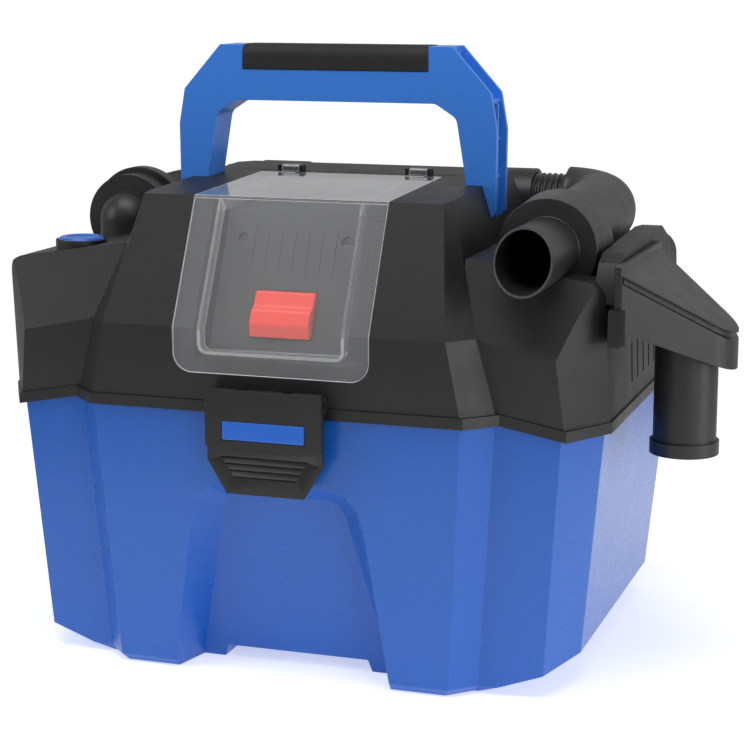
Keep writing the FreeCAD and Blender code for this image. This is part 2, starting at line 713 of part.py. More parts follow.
def make_clip(name, x_from, x_to):
    """A band round the hose, with a foot on the shelf behind the hump."""
    grip_r = S.hose_r + 2.6
    band = cylinder(name + "_band", (x_from, S.hose_y, S.hose_z), grip_r, dim(x_to) - x_from, "X")
    foot = box(name + "_foot", (x_from, S.hose_y - 13, S.shelf_z), (x_to, S.hose_y + 13, S.hose_z))
    bore = cylinder(name + "_bore", (dim(x_from) - 5, S.hose_y, S.hose_z), S.hose_r,
                    dim(x_to) - x_from + 10, "X")
    mouth = box(name + "_mouth", (dim(x_from) - 5, S.hose_y + 12, S.hose_z - 8),
                (dim(x_to) + 5, S.hose_y + 40, S.hose_z + 8))
    below = box(name + "_below", (dim(x_from) - 5, S.hose_y - 30, S.shelf_z - 20),
                (dim(x_to) + 5, S.hose_y + 30, S.shelf_z))
    return node(name, cut(name + "_whole", fuse(name + "_block", band, foot), bore, mouth, below))


def make_adapter():
    """A collar over the cuff's end, stepped down to a pipe with a slanting mouth."""
    x, z = S.cuff_x, S.cuff_z
    back = -S.collar_front + S.collar_long
    collar = cone("collar", (x, back, z), S.collar_r, S.collar_tip_r, S.collar_long, "-Y")
    pipe = cylinder("pipe", (x, -S.collar_front + 2, z), S.pipe_r, 80, "-Y")
    bore = cylinder("pipe_hole", (x, back + 1, z), S.pipe_bore, 140, "-Y")
    tip = box("mouth_tool", (-60, -60, 0), (60, 60, 80))
    turn = FreeCAD.Rotation(Z_AXIS, PIPE_MOUTH)
    middle = V(float(x), -float(S.pipe_front), float(z))
    tip.Placement = FreeCAD.Placement(middle + turn.multVec(V(-60, -60, 0)), turn)
    return node("hose_adapter", cut("adapter_whole", fuse("adapter_block", collar, pipe), bore, tip))


def pocket_tools(name, grow):
    """The bed in the right box for the adapter and cuff, and the hole for the inlet elbow."""
    x, z = S.cuff_x, S.cuff_z
    g = dim(grow)
    collar = cylinder(name + "_collar", (x, -S.collar_front - 1.5 - g, z), S.collar_r + 0.6 + g,
                      S.collar_long + 20 + g, "Y")
    pipe = cylinder(name + "_pipe", (x, -S.skirt_front - 10, z), S.pipe_r + 0.4 + g, 80, "Y")
    over = box(name + "_over", (x - S.collar_r - 0.6 - g, -S.collar_front - 1.5 - g, z),
               (x + S.collar_r + 0.6 + g, -S.collar_front + S.collar_long + 18.5, z + 60))
    cuff, _ = swept_tube(cuff_points(), [CUFF_BEND], float(S.cuff_r) + 0.8 + float(g))
    bend = solid(name + "_cuff", cuff)
    inlet = cylinder(name + "_inlet", (-S.inlet_x, -S.inlet_y, 180), S.inlet_r + g, 120)
    nut = cylinder(name + "_nut", (-S.inlet_x, -S.nut_front - 1 - g, S.inlet_z), S.nut_r + 0.7 + g,
                   S.nut_front - S.nut_step + 2, "Y")
    wide = cylinder(name + "_nut_wide", (-S.inlet_x, -S.nut_step - 1 - g, S.inlet_z), S.nut_wide_r + 0.7 + g,
                    S.nut_step + S.nut_end + 3 + g * 2, "Y")
    hose, _ = swept_tube(hose_points(), [HOSE_BEND], float(S.hose_r) + 0.8 + float(g))
    return [collar, pipe, over, bend, nut, wide, solid(name + "_hose", hose)], inlet


# ---------------------------------------------------------------- handle and door

def handle_block():
    """The handle's side outline, as deep as the handle, with soft corners."""
    x = S.handle_half
    top = S.handle_top
    half = [(x - 29.8, top), (x - 4, top - 29), (x, top - 52), (x - 0.4, 287), (x - 4.5, 282), (88.5, 292),
            (88.5, 307), (82, top - 45), (68, top - 36)]
    left = [(-dim(a), b) for a, b in reversed(half)]
    block = prism("handle_prism", "XZ", half + left, S.handle_deep, (0, -(S.handle_front - S.handle_deep), 0))

    def corner(edge):
        a, b = ends(edge)
        along_y = near(a.x, b.x) and near(a.z, b.z) and abs(a.y - b.y) > 10
        return along_y and 340 < a.z < 389 and abs(a.x) < 84
    return round_edges("handle_soft", block, 7.0, corner)


def make_handle():
    """A C-section bail, open outwards, with cross ribs, and a rubber grip let into its bar."""
    block = handle_block()
    front = -S.handle_front
    rear = -(S.handle_front - S.handle_deep)
    top = S.handle_top
    ribs = []
    channel_line = [(93.5, 270), (93.5, 307), (88, top - 50), (77.5, top - 20), (77.5, top + 8),
                    (140, top + 8), (140, 270)]
    right = prism("channel_right", "XZ", channel_line, S.handle_deep - 6.4, (0, rear - 3.2, 0))
    channel = fuse("channel", right, mirror("channel_left", right, X_AXIS))
    for i, z in enumerate((308.0, 332.0, 356.0)):
        ribs.append(box("rib_%d" % i, (-104, front + 3.2, z), (104, rear - 3.2, z + 2)))
    ribs.append(box("rib_long", (-106, front + 13, 283), (106, front + 15, 356)))
    web = common("ribs", block, channel, fuse("rib_bars", *ribs))
    grip_low = (-S.grip_half, front - 0.6, S.grip_foot)
    grip_high = (S.grip_half, rear + 0.6, top + 0.5)
    grip_box = box("grip_box", grip_low, grip_high)

    def grip_edge(edge):
        a, b = ends(edge)
        return near(a.z, float(top) + 0.5) and near(b.z, float(top) + 0.5) and abs(a.x - b.x) > 10
    grip_soft = round_edges("grip_soft", grip_box, 8.0, grip_edge)
    core = box("bar_core", (-S.grip_half - 1, front + 3.4, S.grip_foot - 1),
               (S.grip_half + 1, rear - 3.4, top - 3.5))
    node("handle_grip", cut("grip_whole", grip_soft, core))
    shell = cut("handle_shell", block, channel)
    body = fuse("handle_body", cut("handle_bar", fuse("handle_with_ribs", shell, web), grip_box),
                common("handle_core", core, grip_box))
    node("handle", body)
    return block


def door_profile(out, under, grow=0.0):
    """The door's bent section: out is the outer skin over the housing, under its inner skin."""
    front = S.skirt_front + 0.6
    rise = (S.hump_rear_z - S.hump_front_z) / (S.hump_rear + S.hump_front)
    rear_z = S.hump_front_z + rise * (S.hump_front - S.door_rear)
    return [
        (-(front + out), S.door_foot - grow),
        (-(front + out), S.crease_z + out * 0.24),
        (-(S.hump_front + out * 0.65), S.hump_front_z + out),
        (-S.door_rear + grow, rear_z + out),
        (-S.door_rear + grow, rear_z - under),
        (-(S.hump_front - under * 0.65), S.hump_front_z - under),
        (-(front - under), S.crease_z - under * 0.24),
        (-(front - under), S.door_foot - grow),
    ]


DOOR_CORNER_R = 12.0


def make_door():
    """A bent clear door on two hinge knuckles."""
    out = dim(0.3)
    under = S.door_thick - out
    plate = prism("door_plate", "YZ", door_profile(out, under), S.door_half, both=True)

    def foot_corner(edge):
        a, b = ends(edge)
        return near(a.z, float(S.door_foot)) and near(b.z, float(S.door_foot)) and abs(a.y - b.y) > 1
    parts = [round_edges("door_soft", plate, DOOR_CORNER_R, foot_corner)]
    bores = []
    for sign in (-1, 1):
        x = S.knuckle_x * sign
        tag = "door_%d_" % (sign + 1)
        parts.append(cylinder(tag + "knuckle", (x - 6, S.hinge_y, S.hinge_z), 3.2, 12, "X"))
        parts.append(box(tag + "arm", (x - 6, -S.door_rear - 3, S.hinge_z - 3.0),
                         (x + 6, S.hinge_y, S.hinge_z - 1.2)))
        bores.append(cylinder(tag + "bore", (x - 8, S.hinge_y, S.hinge_z), S.hinge_pin_r + 0.3, 16, "X"))
    node("battery_door", cut("door_whole", fuse("door_block", *parts), *bores))
    pins = [cylinder("hinge_pin_%d" % (sign + 1), (S.knuckle_x * sign - 9, S.hinge_y, S.hinge_z),
                     S.hinge_pin_r, 18, "X") for sign in (-1, 1)]
    node("door_hinge_pins", fuse("hinge_pins", *pins))
    room = prism("door_room", "YZ", door_profile(dim(4.0), under + 0.3, S.gap), S.door_half + S.gap,
                 both=True)
    tools = [round_edges("door_room_soft", room, DOOR_CORNER_R + 0.4, foot_corner)]
    lugs = []
    for sign in (-1, 1):
        x = S.knuckle_x * sign
        tag = "hinge_%d_" % (sign + 1)
        tools.append(cylinder(tag + "room", (x - 6.5, S.hinge_y, S.hinge_z), 4.0, 13, "X"))
        tools.append(box(tag + "arm_room", (x - 6.5, -S.door_rear - 1, S.hinge_z - 3.6),
                         (x + 6.5, S.hinge_y, 320)))
        for side in (-1, 1):
            x_low = x + side * 7.75 - 1.25
            lugs.append(box(tag + "lug_%d" % (side + 1), (x_low, S.hinge_y - 3, S.hinge_z - 6),
                            (x_low + 2.5, S.hinge_y + 3, S.hinge_z + 2.6)))
    pin_bore = cylinder("hinge_bore", (-80, S.hinge_y, S.hinge_z), S.hinge_pin_r, 160, "X")
    return tools, lugs, pin_bore


# ---------------------------------------------------------------- battery

CASE_WALL = 3.0
CELL_R = 9.1
CELL_LONG = 65.0
CELL_PITCH = 18.1
PACK_LEAN = (37.0, 80.0)
PACK_FRONT = 102.0


def pack_front_y(z, out=0.0):
    """The pack's sloping front face at a height; out stands proud of it."""
    slope = PACK_LEAN[0] / PACK_LEAN[1]
    return -(dim(PACK_FRONT) + (S.pack_top - z) * slope) - dim(out) * 1.10


def slope_rotation():
    length = math.hypot(*PACK_LEAN)
    return FreeCAD.Rotation(Z_AXIS, V(0, -PACK_LEAN[1] / length, PACK_LEAN[0] / length))


def make_battery():
    """The pack's case with its cells, two case screws, the release button and the terminal block."""
    rear = -(S.bay_rear + 10)
    foot = S.bay_floor
    case = prism("case_block", "YZ", [(pack_front_y(foot), foot), (rear, foot), (rear, S.pack_top),
                                      (pack_front_y(S.pack_top), S.pack_top)], S.pack_half, both=True)
    room_front = CASE_WALL * 4
    low, high = foot + 5, S.pack_top - 5
    room = prism("case_room", "YZ",
                 [(pack_front_y(low) + room_front, low), (rear - CASE_WALL, low),
                  (rear - CASE_WALL, high), (pack_front_y(high) + room_front, high)],
                 S.pack_half - CASE_WALL, both=True)
    well = prism("release_well", "YZ",
                 [(pack_front_y(dim(217), 3), 217), (pack_front_y(dim(217), -7.5), 217),
                  (pack_front_y(dim(245), -7.5), 245), (pack_front_y(dim(245), 3), 245)],
                 S.release_half + 0.5, both=True)
    ribs = []
    for i in range(7):
        x = -27.0 + i * 9.0
        ribs.append(prism("case_rib_%d" % i, "YZ",
                          [(pack_front_y(dim(250), 0), 250), (pack_front_y(dim(250), -2), 250),
                           (pack_front_y(dim(283), -2), 283), (pack_front_y(dim(283), 0), 283),
                           (pack_front_y(dim(270), 1.2), 270)], 0.7, (x, 0, 0), both=True))
    turn = slope_rotation()
    screws, seats = [], []
    for i, x in enumerate((-34.0, 34.0)):
        z = dim(272.0)
        head = cylinder("pack_screw_%d" % i, (x, pack_front_y(z, -6), z), 3.6, 3.0)
        slot = box("pack_slot_%d" % i, (-3, -0.5, 2.0), (3, 0.5, 4.0))
        seat_at = FreeCAD.Placement(V(x, float(pack_front_y(z, -6)), float(z)), turn)
        slot.Placement = FreeCAD.Placement(seat_at.multVec(V(-3, -0.5, 2.0)), turn)
        head.Placement.Rotation = turn
        screws.append(cut("pack_screw_cut_%d" % i, head, slot))
        seat = cylinder("pack_seat_%d" % i, (x, pack_front_y(z, -6), z), 3.6, 12)
        seat.Placement.Rotation = turn
        seats.append(seat)
    node("battery_case", cut("case_whole", fuse("case_with_ribs", case, *ribs), room, well, *seats))
    node("battery_screws", fuse("pack_screws", *screws))
    cells = []
    for row in range(3):
        for column in range(3):
            at = (-CELL_LONG / 2, -52 - CELL_PITCH * column, foot + 5 + CELL_R + CELL_PITCH * row)
            cells.append(cylinder("cell_%d_%d" % (row, column), at, CELL_R, CELL_LONG, "X"))
    node("battery_cells", fuse("cells", *cells))
    # heights up the slope and how far the key stands out of it: a flat, a thumb ridge and a scoop
    key = [(217.6, -4.5), (244.4, -4.5), (244.4, 3.0), (236, 3.6), (234, 6.5), (226, 6.8), (217.6, 2.6)]
    key_line = [(pack_front_y(dim(z), out), z) for z, out in key]
    node("release_button", prism("release_profile", "YZ", key_line, S.release_half, both=True))
    node("battery_terminals", box("terminals", (-20, rear, foot + 6), (20, -S.bay_rear, foot + 34)))


def make_bay(inner):
    """The bay's tub: floor, back and side walls, let into the housing."""
    outside = box("bay_block", (-S.bay_wide - 3, -200, S.bay_floor - 3),
                  (S.bay_wide + 3, -S.bay_rear + 3, 330))
    inside = box("bay_room", (-S.bay_wide, -210, S.bay_floor), (S.bay_wide, -S.bay_rear, 340))
    tub = cut("bay_tub", outside, inside)
    node("battery_bay", common("bay_whole", tub, inner))
    return box("bay_opening", (-S.bay_wide, -210, S.bay_floor), (S.bay_wide, -S.bay_rear, 340))


# ---------------------------------------------------------------- latches and power button

def make_latch(label, sign):
    """A draw latch: a plate with finger grooves, hung on a pin through the pan's lugs."""
    face = S.skirt_front + S.latch_proud
    back = S.skirt_front + 7.1
    pin_y = S.skirt_front + 6.0
    half = S.latch_half
    plate = prism(label + "_plate", "XZ",
                  mirrored([(S.latch_foot_half, S.latch_foot), (half, 145.5), (half, S.latch_top)]),
                  S.latch_proud - 7.1, (0, -back, 0))
    barrel = cylinder(label + "_barrel", (-half, -pin_y, S.latch_pin_z), 5.6, half * 2, "X")
    tooth = box(label + "_tooth", (-20, -back, 143), (20, -(S.skirt_front - 0.2), 149.4))
    step = box(label + "_step", (-60, -face - 1, 100), (60, -face + 3, S.latch_step))
    grooves = [box(label + "_groove_%d" % i, (-(28 - 2.6 * i), -face, 147.4 - 4.1 * i),
                   (28 - 2.6 * i, -face + 3.9, 148.3 - 4.1 * i)) for i in range(4)]
    lug_rooms = [box(label + "_lug_room_%d" % (x + 15), (x - 3.6, -(S.skirt_front + 10.8), 166),
                     (x + 3.6, -S.skirt_front, 200)) for x in (-15, 15)]
    bore = cylinder(label + "_bore", (-half - 1, -pin_y, S.latch_pin_z), S.hinge_pin_r + 0.3,
                    half * 2 + 2, "X")
    seat = box(label + "_seat", (-26.9, -face - 1, 158.8), (26.9, -face + 2.0, 170.9))
    block = fuse(label + "_block", plate, barrel, tooth)
    whole = cut(label + "_whole", block, step, *grooves, *lug_rooms, bore, seat)
    inlay = box(label + "_inlay", (-26.6, -face - 0.3, 159.1), (26.6, -face + 2.0, 170.6))
    pin = cylinder(label + "_pin_body", (-30, -pin_y, S.latch_pin_z), S.hinge_pin_r, 60, "X")
    if sign < 0:
        node(label, whole)
        node(label + "_inlay", inlay)
        node(label + "_pin", pin)
    else:
        node(label, mirror(label + "_behind", whole, Y_AXIS))
        node(label + "_inlay", mirror(label + "_inlay_behind", inlay, Y_AXIS))
        node(label + "_pin", mirror(label + "_pin_behind", pin, Y_AXIS))


def make_power_button():
    x, y, top = -S.knob_x, -S.knob_y, S.knob_top
    r = S.knob_r
    node("power_button", revolve("button", [(0, -8), (r, -8), (r, -1.5), (r - 1.5, 0), (r - 4.5, 0),
                                            (r - 6, -1.1), (0, -1.4)], (x, y, top)))
    node("button_bezel", revolve("bezel", [(0, -37), (r + 1.4, -37), (r + 1.4, -1.6), (r + 0.4, -1.6),
                                           (r + 0.4, -34), (0, -34)], (x, y, top)))
    case = box("switch_body", (x - 9, y - 7, top - 34), (x + 9, y + 7, top - 13.5))
    node("power_switch", fuse("switch", case, cylinder("switch_plunger", (x, y, top - 14), 3, 2.5)))
    return cylinder("button_hole", (x, y, top - 37), r + 1.4, 60)


# ---------------------------------------------------------------- inlet

def make_inlet():
    """The flanged elbow that turns the hose's air down into the tank, and the hose's nut against it."""
    x, y, z = -S.inlet_x, -S.inlet_y, S.inlet_z
    foot = 150.0
    arm_long = S.inlet_y - S.nut_step - S.gap / 2
    outer = [cylinder("elbow_leg", (x, y, foot), S.inlet_r, z - foot),
             sphere("elbow_ball", (x, y, z), S.inlet_r),
             cylinder("elbow_arm", (x, y, z), S.inlet_r, arm_long, "Y"),
             cylinder("elbow_flange", (x, -S.nut_front, z), S.nut_r,
                      S.nut_front - S.nut_step - S.gap / 2, "Y")]
    inner = [cylinder("elbow_leg_bore", (x, y, foot), S.inlet_bore, z - foot),
             sphere("elbow_ball_bore", (x, y, z), S.inlet_bore),
             cylinder("elbow_arm_bore", (x, y, z), S.inlet_bore, arm_long + 5, "Y")]
    node("inlet_elbow", cut("elbow_whole", fuse("elbow_block", *outer), *inner))
    node("hose_nut", tube("nut", (x, -S.nut_step + S.gap / 2, z), S.nut_wide_r, S.inlet_bore,
                          S.nut_end + S.nut_step - S.gap / 2, "Y"))


# ---------------------------------------------------------------- stored nozzle

CAP_THICK = 1.2
GROOVE_FOOT = 6.0
GROOVE_DEEP = 3.0
NOZZLE_WALL = 3.0


def nozzle_plan(name, inset):
    """The fan seen from above: a wide mouth whose sides run in to a round nose."""
    d = dim(inset)
    radius = S.nose_r - d
    mouth = S.mouth_half - d * 1.26
    # the sides touch the nose where their own direction turns it, 37.4 degrees off the mouth's axis
    touch_x = S.nose_x + radius * 0.607
    touch_y = radius * 0.794
    low = 190
    fan = prism(name + "_fan", "XY",
                [(S.mouth_x, -mouth), (touch_x, -touch_y), (touch_x, touch_y), (S.mouth_x, mouth)],
                90, (0, -S.nozzle_y, low))
    return fuse(name, fan, cylinder(name + "_nose", (S.nose_x, -S.nozzle_y, low), radius, 90))


def nozzle_layer(name, below_top, above_foot, inset, rise=0.0):
    """The fan between two of its sloping levels; without a foot it ends at rise above the underside."""
    before, reach = dim(6), dim(70)
    top_in = S.mouth_top + S.nose_drop * before - below_top
    top_out = S.mouth_top - S.nose_drop * reach - below_top
    if above_foot is None:
        low_in = S.mouth_low + S.nose_lift * before + rise
        low_out = S.mouth_low - S.nose_lift * reach + rise
    else:
        low_in, low_out = top_in - above_foot, top_out - above_foot
    line = [(S.mouth_x - before, low_in), (S.mouth_x + reach, low_out), (S.mouth_x + reach, top_out),
            (S.mouth_x - before, top_in)]
    side = prism(name + "_side", "XZ", line, 80, (0, -S.nozzle_y, 0), both=True)
    return common(name, nozzle_plan(name + "_plan", inset), side)


def make_nozzle():
    """A wide utility nozzle: mouth plate, fan with a groove under its cap, and a tube."""
    x, y = S.nozzle_x, -S.nozzle_y
    plate_back = S.mouth_x + 4
    plate = box("mouth_plate", (S.mouth_x, y - S.mouth_half, 226),
                (plate_back, y + S.mouth_half, S.mouth_top + 2))
    cap = nozzle_layer("nozzle_cap", 0, CAP_THICK, 0.0)
    neck = nozzle_layer("nozzle_neck", 0.5, GROOVE_FOOT, GROOVE_DEEP)
    hull = nozzle_layer("nozzle_hull", GROOVE_FOOT, None, 0.0)
    stem = cylinder("nozzle_stem", (x, y, S.nozzle_foot), S.nozzle_r, 218 - S.nozzle_foot)
    bead = cylinder("nozzle_bead", (x, y, S.nozzle_foot), S.nozzle_r + 1.9, 8.5)
    body = fuse("nozzle_block", plate, cap, neck, hull, stem, bead)
    room = nozzle_layer("nozzle_room", NOZZLE_WALL, None, GROOVE_DEEP + 2.4, NOZZLE_WALL)
    bore = cylinder("stem_bore", (x, y, S.nozzle_foot), S.nozzle_bore, 222 - S.nozzle_foot)
    slot_half = S.mouth_half - 6
    mouth = box("mouth_slot", (S.mouth_x - 4, y - slot_half, 236), (plate_back, y + slot_half, 260))
    node("utility_nozzle", cut("nozzle_whole", body, room, bore, mouth))


BAR_IN = 13.6
PLATE_LIP = 2.5


def make_bracket(housing):
    """A holder on the right side: a bar on the box's shoulder, and walls, lips and stops for the mouth."""
    x, y = S.mouth_x, -S.nozzle_y
    front, rear = y - S.mouth_half, y + S.mouth_half
    face = x - S.gap
    bar_front = dim(-113)
    bar_rear = rear + 65
    bar = prism("holder_bar", "YZ", [(bar_front, 245), (bar_front + 4, 259), (bar_front + 11, 268),
                                     (bar_front + 22, 273), (rear, 277), (rear + 24, 275.5),
                                     (rear + 43, 268), (rear + 57, 258), (bar_rear, 246), (bar_rear, 225),
                                     (rear + S.gap, 225), (rear + S.gap, 245)],
                BAR_IN - S.gap, (x - BAR_IN, 0, 0))
    hook_top = 243
    inner, outer, thin = face - 2.6, x + 6.4, dim(2.2)
    parts = [bar, box("holder_back", (inner, front - thin, 222), (face, rear + 6, hook_top)),
             box("holder_top_rail", (inner - 3, bar_front + 8, 240), (face, rear + 6, 258)),
             box("holder_front_wall", (inner, front - thin, 222), (outer, front - S.gap, hook_top)),
             box("holder_front_lip", (x + 4.4, front - thin, 222), (outer, front + PLATE_LIP, hook_top)),
             box("holder_front_stop", (inner, front - thin, 221), (x + 4, front + 8, 226)),
             box("holder_rear_wall", (inner, rear + S.gap, 222), (outer, rear + 6, 258)),
             box("holder_rear_lip", (x + 4.4, rear - PLATE_LIP, 222), (outer, rear + 6, 258)),
             box("holder_rear_stop", (inner, rear - 8, 221), (x + 4, rear + 6, 226))]
    node("nozzle_bracket", cut("holder_whole", fuse("holder_block", *parts), housing))


# ---------------------------------------------------------------- motor, fan and filter

def make_motor():
    y = S.motor_y
    tall = S.motor_top - S.motor_foot
    can = cut("can_whole", cylinder("can", (0, y, S.motor_foot), S.motor_r, tall),
              cylinder("can_room", (0, y, S.motor_foot + 3), S.motor_r - 2.5, tall - 6),
              cylinder("can_bore", (0, y, S.motor_foot - 1), 8, tall + 2))
    node("motor_can", can)
    node("motor_magnets", tube("magnets", (0, y, S.motor_foot + 8), S.motor_r - 2.5, 23.5, tall - 16))
    rings = [tube("bearing_low", (0, y, S.motor_foot), 8, S.shaft_r + 0.05, 3),
             tube("bearing_high", (0, y, S.motor_top - 3), 8, S.shaft_r + 0.05, 3)]
    node("motor_bearings", fuse("bearings", *rings))
    node("motor_shaft", cylinder("shaft", (0, y, 184), S.shaft_r, 88))
    node("armature", tube("armature_body", (0, y, S.motor_foot + 10), 22, S.shaft_r, tall - 24))
    pan_top = S.parting_high + S.skirt_tall
    drum = cut("drum_whole", cylinder("drum", (0, y, pan_top), S.fan_r, S.motor_foot - pan_top),
               cylinder("drum_room", (0, y, pan_top + 2.5), S.fan_r - 2.5, S.motor_foot - pan_top - 5),
               cylinder("drum_eye", (0, y, 170), 20, 15), cylinder("drum_hole", (0, y, 195), 8, 12),
               box("drum_outlet", (-70, y + 4, 186), (-30, y + 22, 198)))
    node("fan_housing", drum)
    blades = []
    for i in range(8):
        blade = box("blade_%d" % i, (9, -0.8, 0), (40, 0.8, 10))
        spin = FreeCAD.Rotation(Z_AXIS, 45.0 * i)
        blade.Placement = FreeCAD.Placement(V(0, float(y), 187) + spin.multVec(V(9, -0.8, 0)), spin)
        blades.append(blade)
    disc = cylinder("impeller_disc", (0, y, 196.5), 41, 2)
    hub = cylinder("impeller_hub", (0, y, 186.5), 10, 12)
    node("impeller", cut("impeller_whole", fuse("impeller_block", disc, hub, *blades),
                         cylinder("impeller_bore", (0, y, 170), S.shaft_r, 40)))
    pegs = [cylinder("board_peg_%d" % i, (x, yy, pan_top), 3, 5)
            for i, (x, yy) in enumerate(((66, -6), (114, -6), (66, 50), (114, 50)))]
    chips = [box("board_chip", (80, 10, 186), (100, 30, 192)), cylinder("board_cap", (74, 42, 186), 6, 14)]
    node("circuit_board", fuse("board_whole", box("board", (60, -12, 184), (120, 56, 186)), *pegs, *chips))
    start_y = 3 - float(S.bay_rear)
    route = [V(24, start_y, 225), V(24, -12, 225), V(88, 14, 222), V(88, 14, 192)]
    lead, _ = swept_tube(route, [5.0, 10.0], 1.6)
    node("battery_lead", solid("lead_body", lead))


FLOAT_SEAT_Z = 160.0


def make_filter():
    y = S.motor_y
    top = S.parting_high
    r = S.cage_r
    foot = S.filter_foot + 6
    windows = []
    for i in range(3):
        bar = box("window_%d" % i, (-60, -9, 0), (60, 9, 50))
        spin = FreeCAD.Rotation(Z_AXIS, 60.0 * i)
        bar.Placement = FreeCAD.Placement(V(0, float(y), 102) + spin.multVec(V(-60, -9, 0)), spin)
        windows.append(bar)
    cage = cut("cage_whole",
               fuse("cage_block", cylinder("cage", (0, y, foot), r, top - foot),
                    cylinder("cage_flange", (0, y, top - 3), r + 8, 3)),
               cylinder("cage_room", (0, y, foot + 3), r - 3, FLOAT_SEAT_Z - foot - 3),
               cylinder("cage_seat_bore", (0, y, 150), 12, 40),
               cylinder("cage_throat", (0, y, FLOAT_SEAT_Z + 3), r - 6, 20), *windows)
    node("filter_cage", cage)
    node("filter_element", tube("filter", (0, y, foot), S.filter_r, r, top - 3 - foot))
    node("filter_cap", fuse("cap", cylinder("cap_disc", (0, y, S.filter_foot), S.filter_r, 6),
                            box("cap_grip", (-20, y - 3, S.filter_foot - 8), (20, y + 3, S.filter_foot))))
    node("float_ball", sphere("float", (0, y, foot + 3.3 + S.float_r), S.float_r))


# ---------------------------------------------------------------- top housing

def make_housing(handle, door_tools, hinge_lugs, hinge_bore, button_hole):
    """The lid's upper shell with its bosses, vents, openings and beds."""
    lower, hump = housing_solid("housing", 0)
    lower = round_housing("housing_shoulder", lower, SHOULDER_R)
    outer = fuse("housing_outer", lower, hump)
    lower_in, hump_in = housing_solid("hollow", S.shell_wall)
    lower_in = round_housing("hollow_shoulder", lower_in, SHOULDER_R - 3.5)
    inner = fuse("housing_inner", lower_in, hump_in)
    base = parting_prism("lid_base", S.skirt_tall, 400)
    beds, inlet = pocket_tools("bed", 0)
    beds_over, _ = pocket_tools("bed_over", 2.6)
    room = cut("housing_room", inner, *beds_over)
    shell = cut("housing_shell", outer, room)
    bosses = [cylinder("boss_%d" % i, (x, y, 175), 5, 160) for i, (x, y) in enumerate(SCREW_SPOTS)]
    pillars = common("bosses", fuse("boss_bars", *bosses), outer)
    vents = []
    for i in range(5):
        low = -S.vent_front + S.vent_pitch * i
        vents.append(box("vent_right_%d" % i, (185, low - 1.6, 184), (230, low + 1.6, 209)))
        vents.append(box("vent_left_%d" % i, (-230, low - 1.6, 184), (-185, low + 1.6, 209)))
    opening = make_bay(inner)
    whole = common("housing_cropped", fuse("housing_full", shell, pillars, *hinge_lugs), base)
    node("top_housing", cut("housing_whole", whole, handle, opening, *door_tools, *beds, inlet, *vents,
                            button_hole, hinge_bore, *screw_bores("boss_bore")))
    make_bracket(outer)


def export():
    doc.recompute()
    for obj in doc.Objects:
        if "Invalid" in obj.State or "Error" in obj.State:
            raise RuntimeError("%s failed: %s %s" % (obj.Label, obj.State, obj.getStatusString()))
    os.makedirs("parts", exist_ok=True)
    for label, obj in MADE.items():
        shape = obj.Shape
        if shape.isNull() or not shape.isValid() or not shape.Solids:
            raise RuntimeError("%s has no valid solid" % label)
        shape.exportStep("parts/%s.step" % label)
        print("%-20s solids %2d volume %9.1f mm3" % (label, len(shape.Solids), shape.Volume))


make_tank()
make_pan()
make_screws()
handle_tool = make_handle()
room_tools, lugs, bore = make_door()
make_battery()
make_latch("front_latch", -1)
make_latch("rear_latch", 1)
hole = make_power_button()
make_inlet()
make_hose()
make_clip("hose_clip_left", -96, -62)
make_clip("hose_clip_right", 60, 106)
make_adapter()
make_nozzle()
make_motor()
make_filter()
make_housing(handle_tool, room_tools, lugs, bore, hole)
export()
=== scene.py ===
"""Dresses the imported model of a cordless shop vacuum: rounded mouldings, ribbed hose, clear battery door,
pleated filter, moulded plastics and a pale studio floor."""

import json
import math

import bmesh
import bpy
from bpy.props import FloatProperty, FloatVectorProperty, IntProperty, PointerProperty
from mathutils import Euler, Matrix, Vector


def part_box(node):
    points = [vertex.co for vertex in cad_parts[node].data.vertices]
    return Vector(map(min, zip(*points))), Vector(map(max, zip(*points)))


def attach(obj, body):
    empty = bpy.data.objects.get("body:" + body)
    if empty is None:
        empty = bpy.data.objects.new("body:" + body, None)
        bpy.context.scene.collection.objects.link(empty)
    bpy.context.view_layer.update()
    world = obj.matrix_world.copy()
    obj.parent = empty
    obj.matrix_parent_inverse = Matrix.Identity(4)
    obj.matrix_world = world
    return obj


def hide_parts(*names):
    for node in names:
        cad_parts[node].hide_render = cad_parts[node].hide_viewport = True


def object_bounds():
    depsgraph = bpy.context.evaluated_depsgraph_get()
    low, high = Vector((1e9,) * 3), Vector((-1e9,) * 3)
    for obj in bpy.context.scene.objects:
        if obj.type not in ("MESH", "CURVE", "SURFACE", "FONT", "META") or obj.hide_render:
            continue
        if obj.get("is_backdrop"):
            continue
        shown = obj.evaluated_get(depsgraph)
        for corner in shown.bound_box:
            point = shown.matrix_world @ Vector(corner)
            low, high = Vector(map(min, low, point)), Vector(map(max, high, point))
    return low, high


bl_info = {
    "name": "Shop Vacuum Dressing",
    "version": (1, 0, 0),
    "blender": (4, 5, 0),
    "location": "View3D > Sidebar > Vacuum",
    "description": "Builds the visible mouldings, hose, door and finishes of a cordless shop vacuum",
    "category": "Object",
}

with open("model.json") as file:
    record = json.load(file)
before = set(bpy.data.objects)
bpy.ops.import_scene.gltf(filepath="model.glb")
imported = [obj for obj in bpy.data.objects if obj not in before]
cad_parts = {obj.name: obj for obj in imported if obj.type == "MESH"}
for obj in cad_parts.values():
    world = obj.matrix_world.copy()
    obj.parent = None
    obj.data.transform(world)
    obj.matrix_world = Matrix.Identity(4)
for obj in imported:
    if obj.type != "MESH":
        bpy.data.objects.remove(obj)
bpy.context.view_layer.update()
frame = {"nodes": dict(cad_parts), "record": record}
MM = 0.001


def linear(code):
    """An sRGB hex colour as the linear values that shaders take."""
    def channel(text):
        c = int(text, 16) / 255
        return c / 12.92 if c <= 0.04045 else ((c + 0.055) / 1.055) ** 2.4
    return tuple(channel(code[i:i + 2]) for i in (0, 2, 4))


# ---------------------------------------------------------------- settings

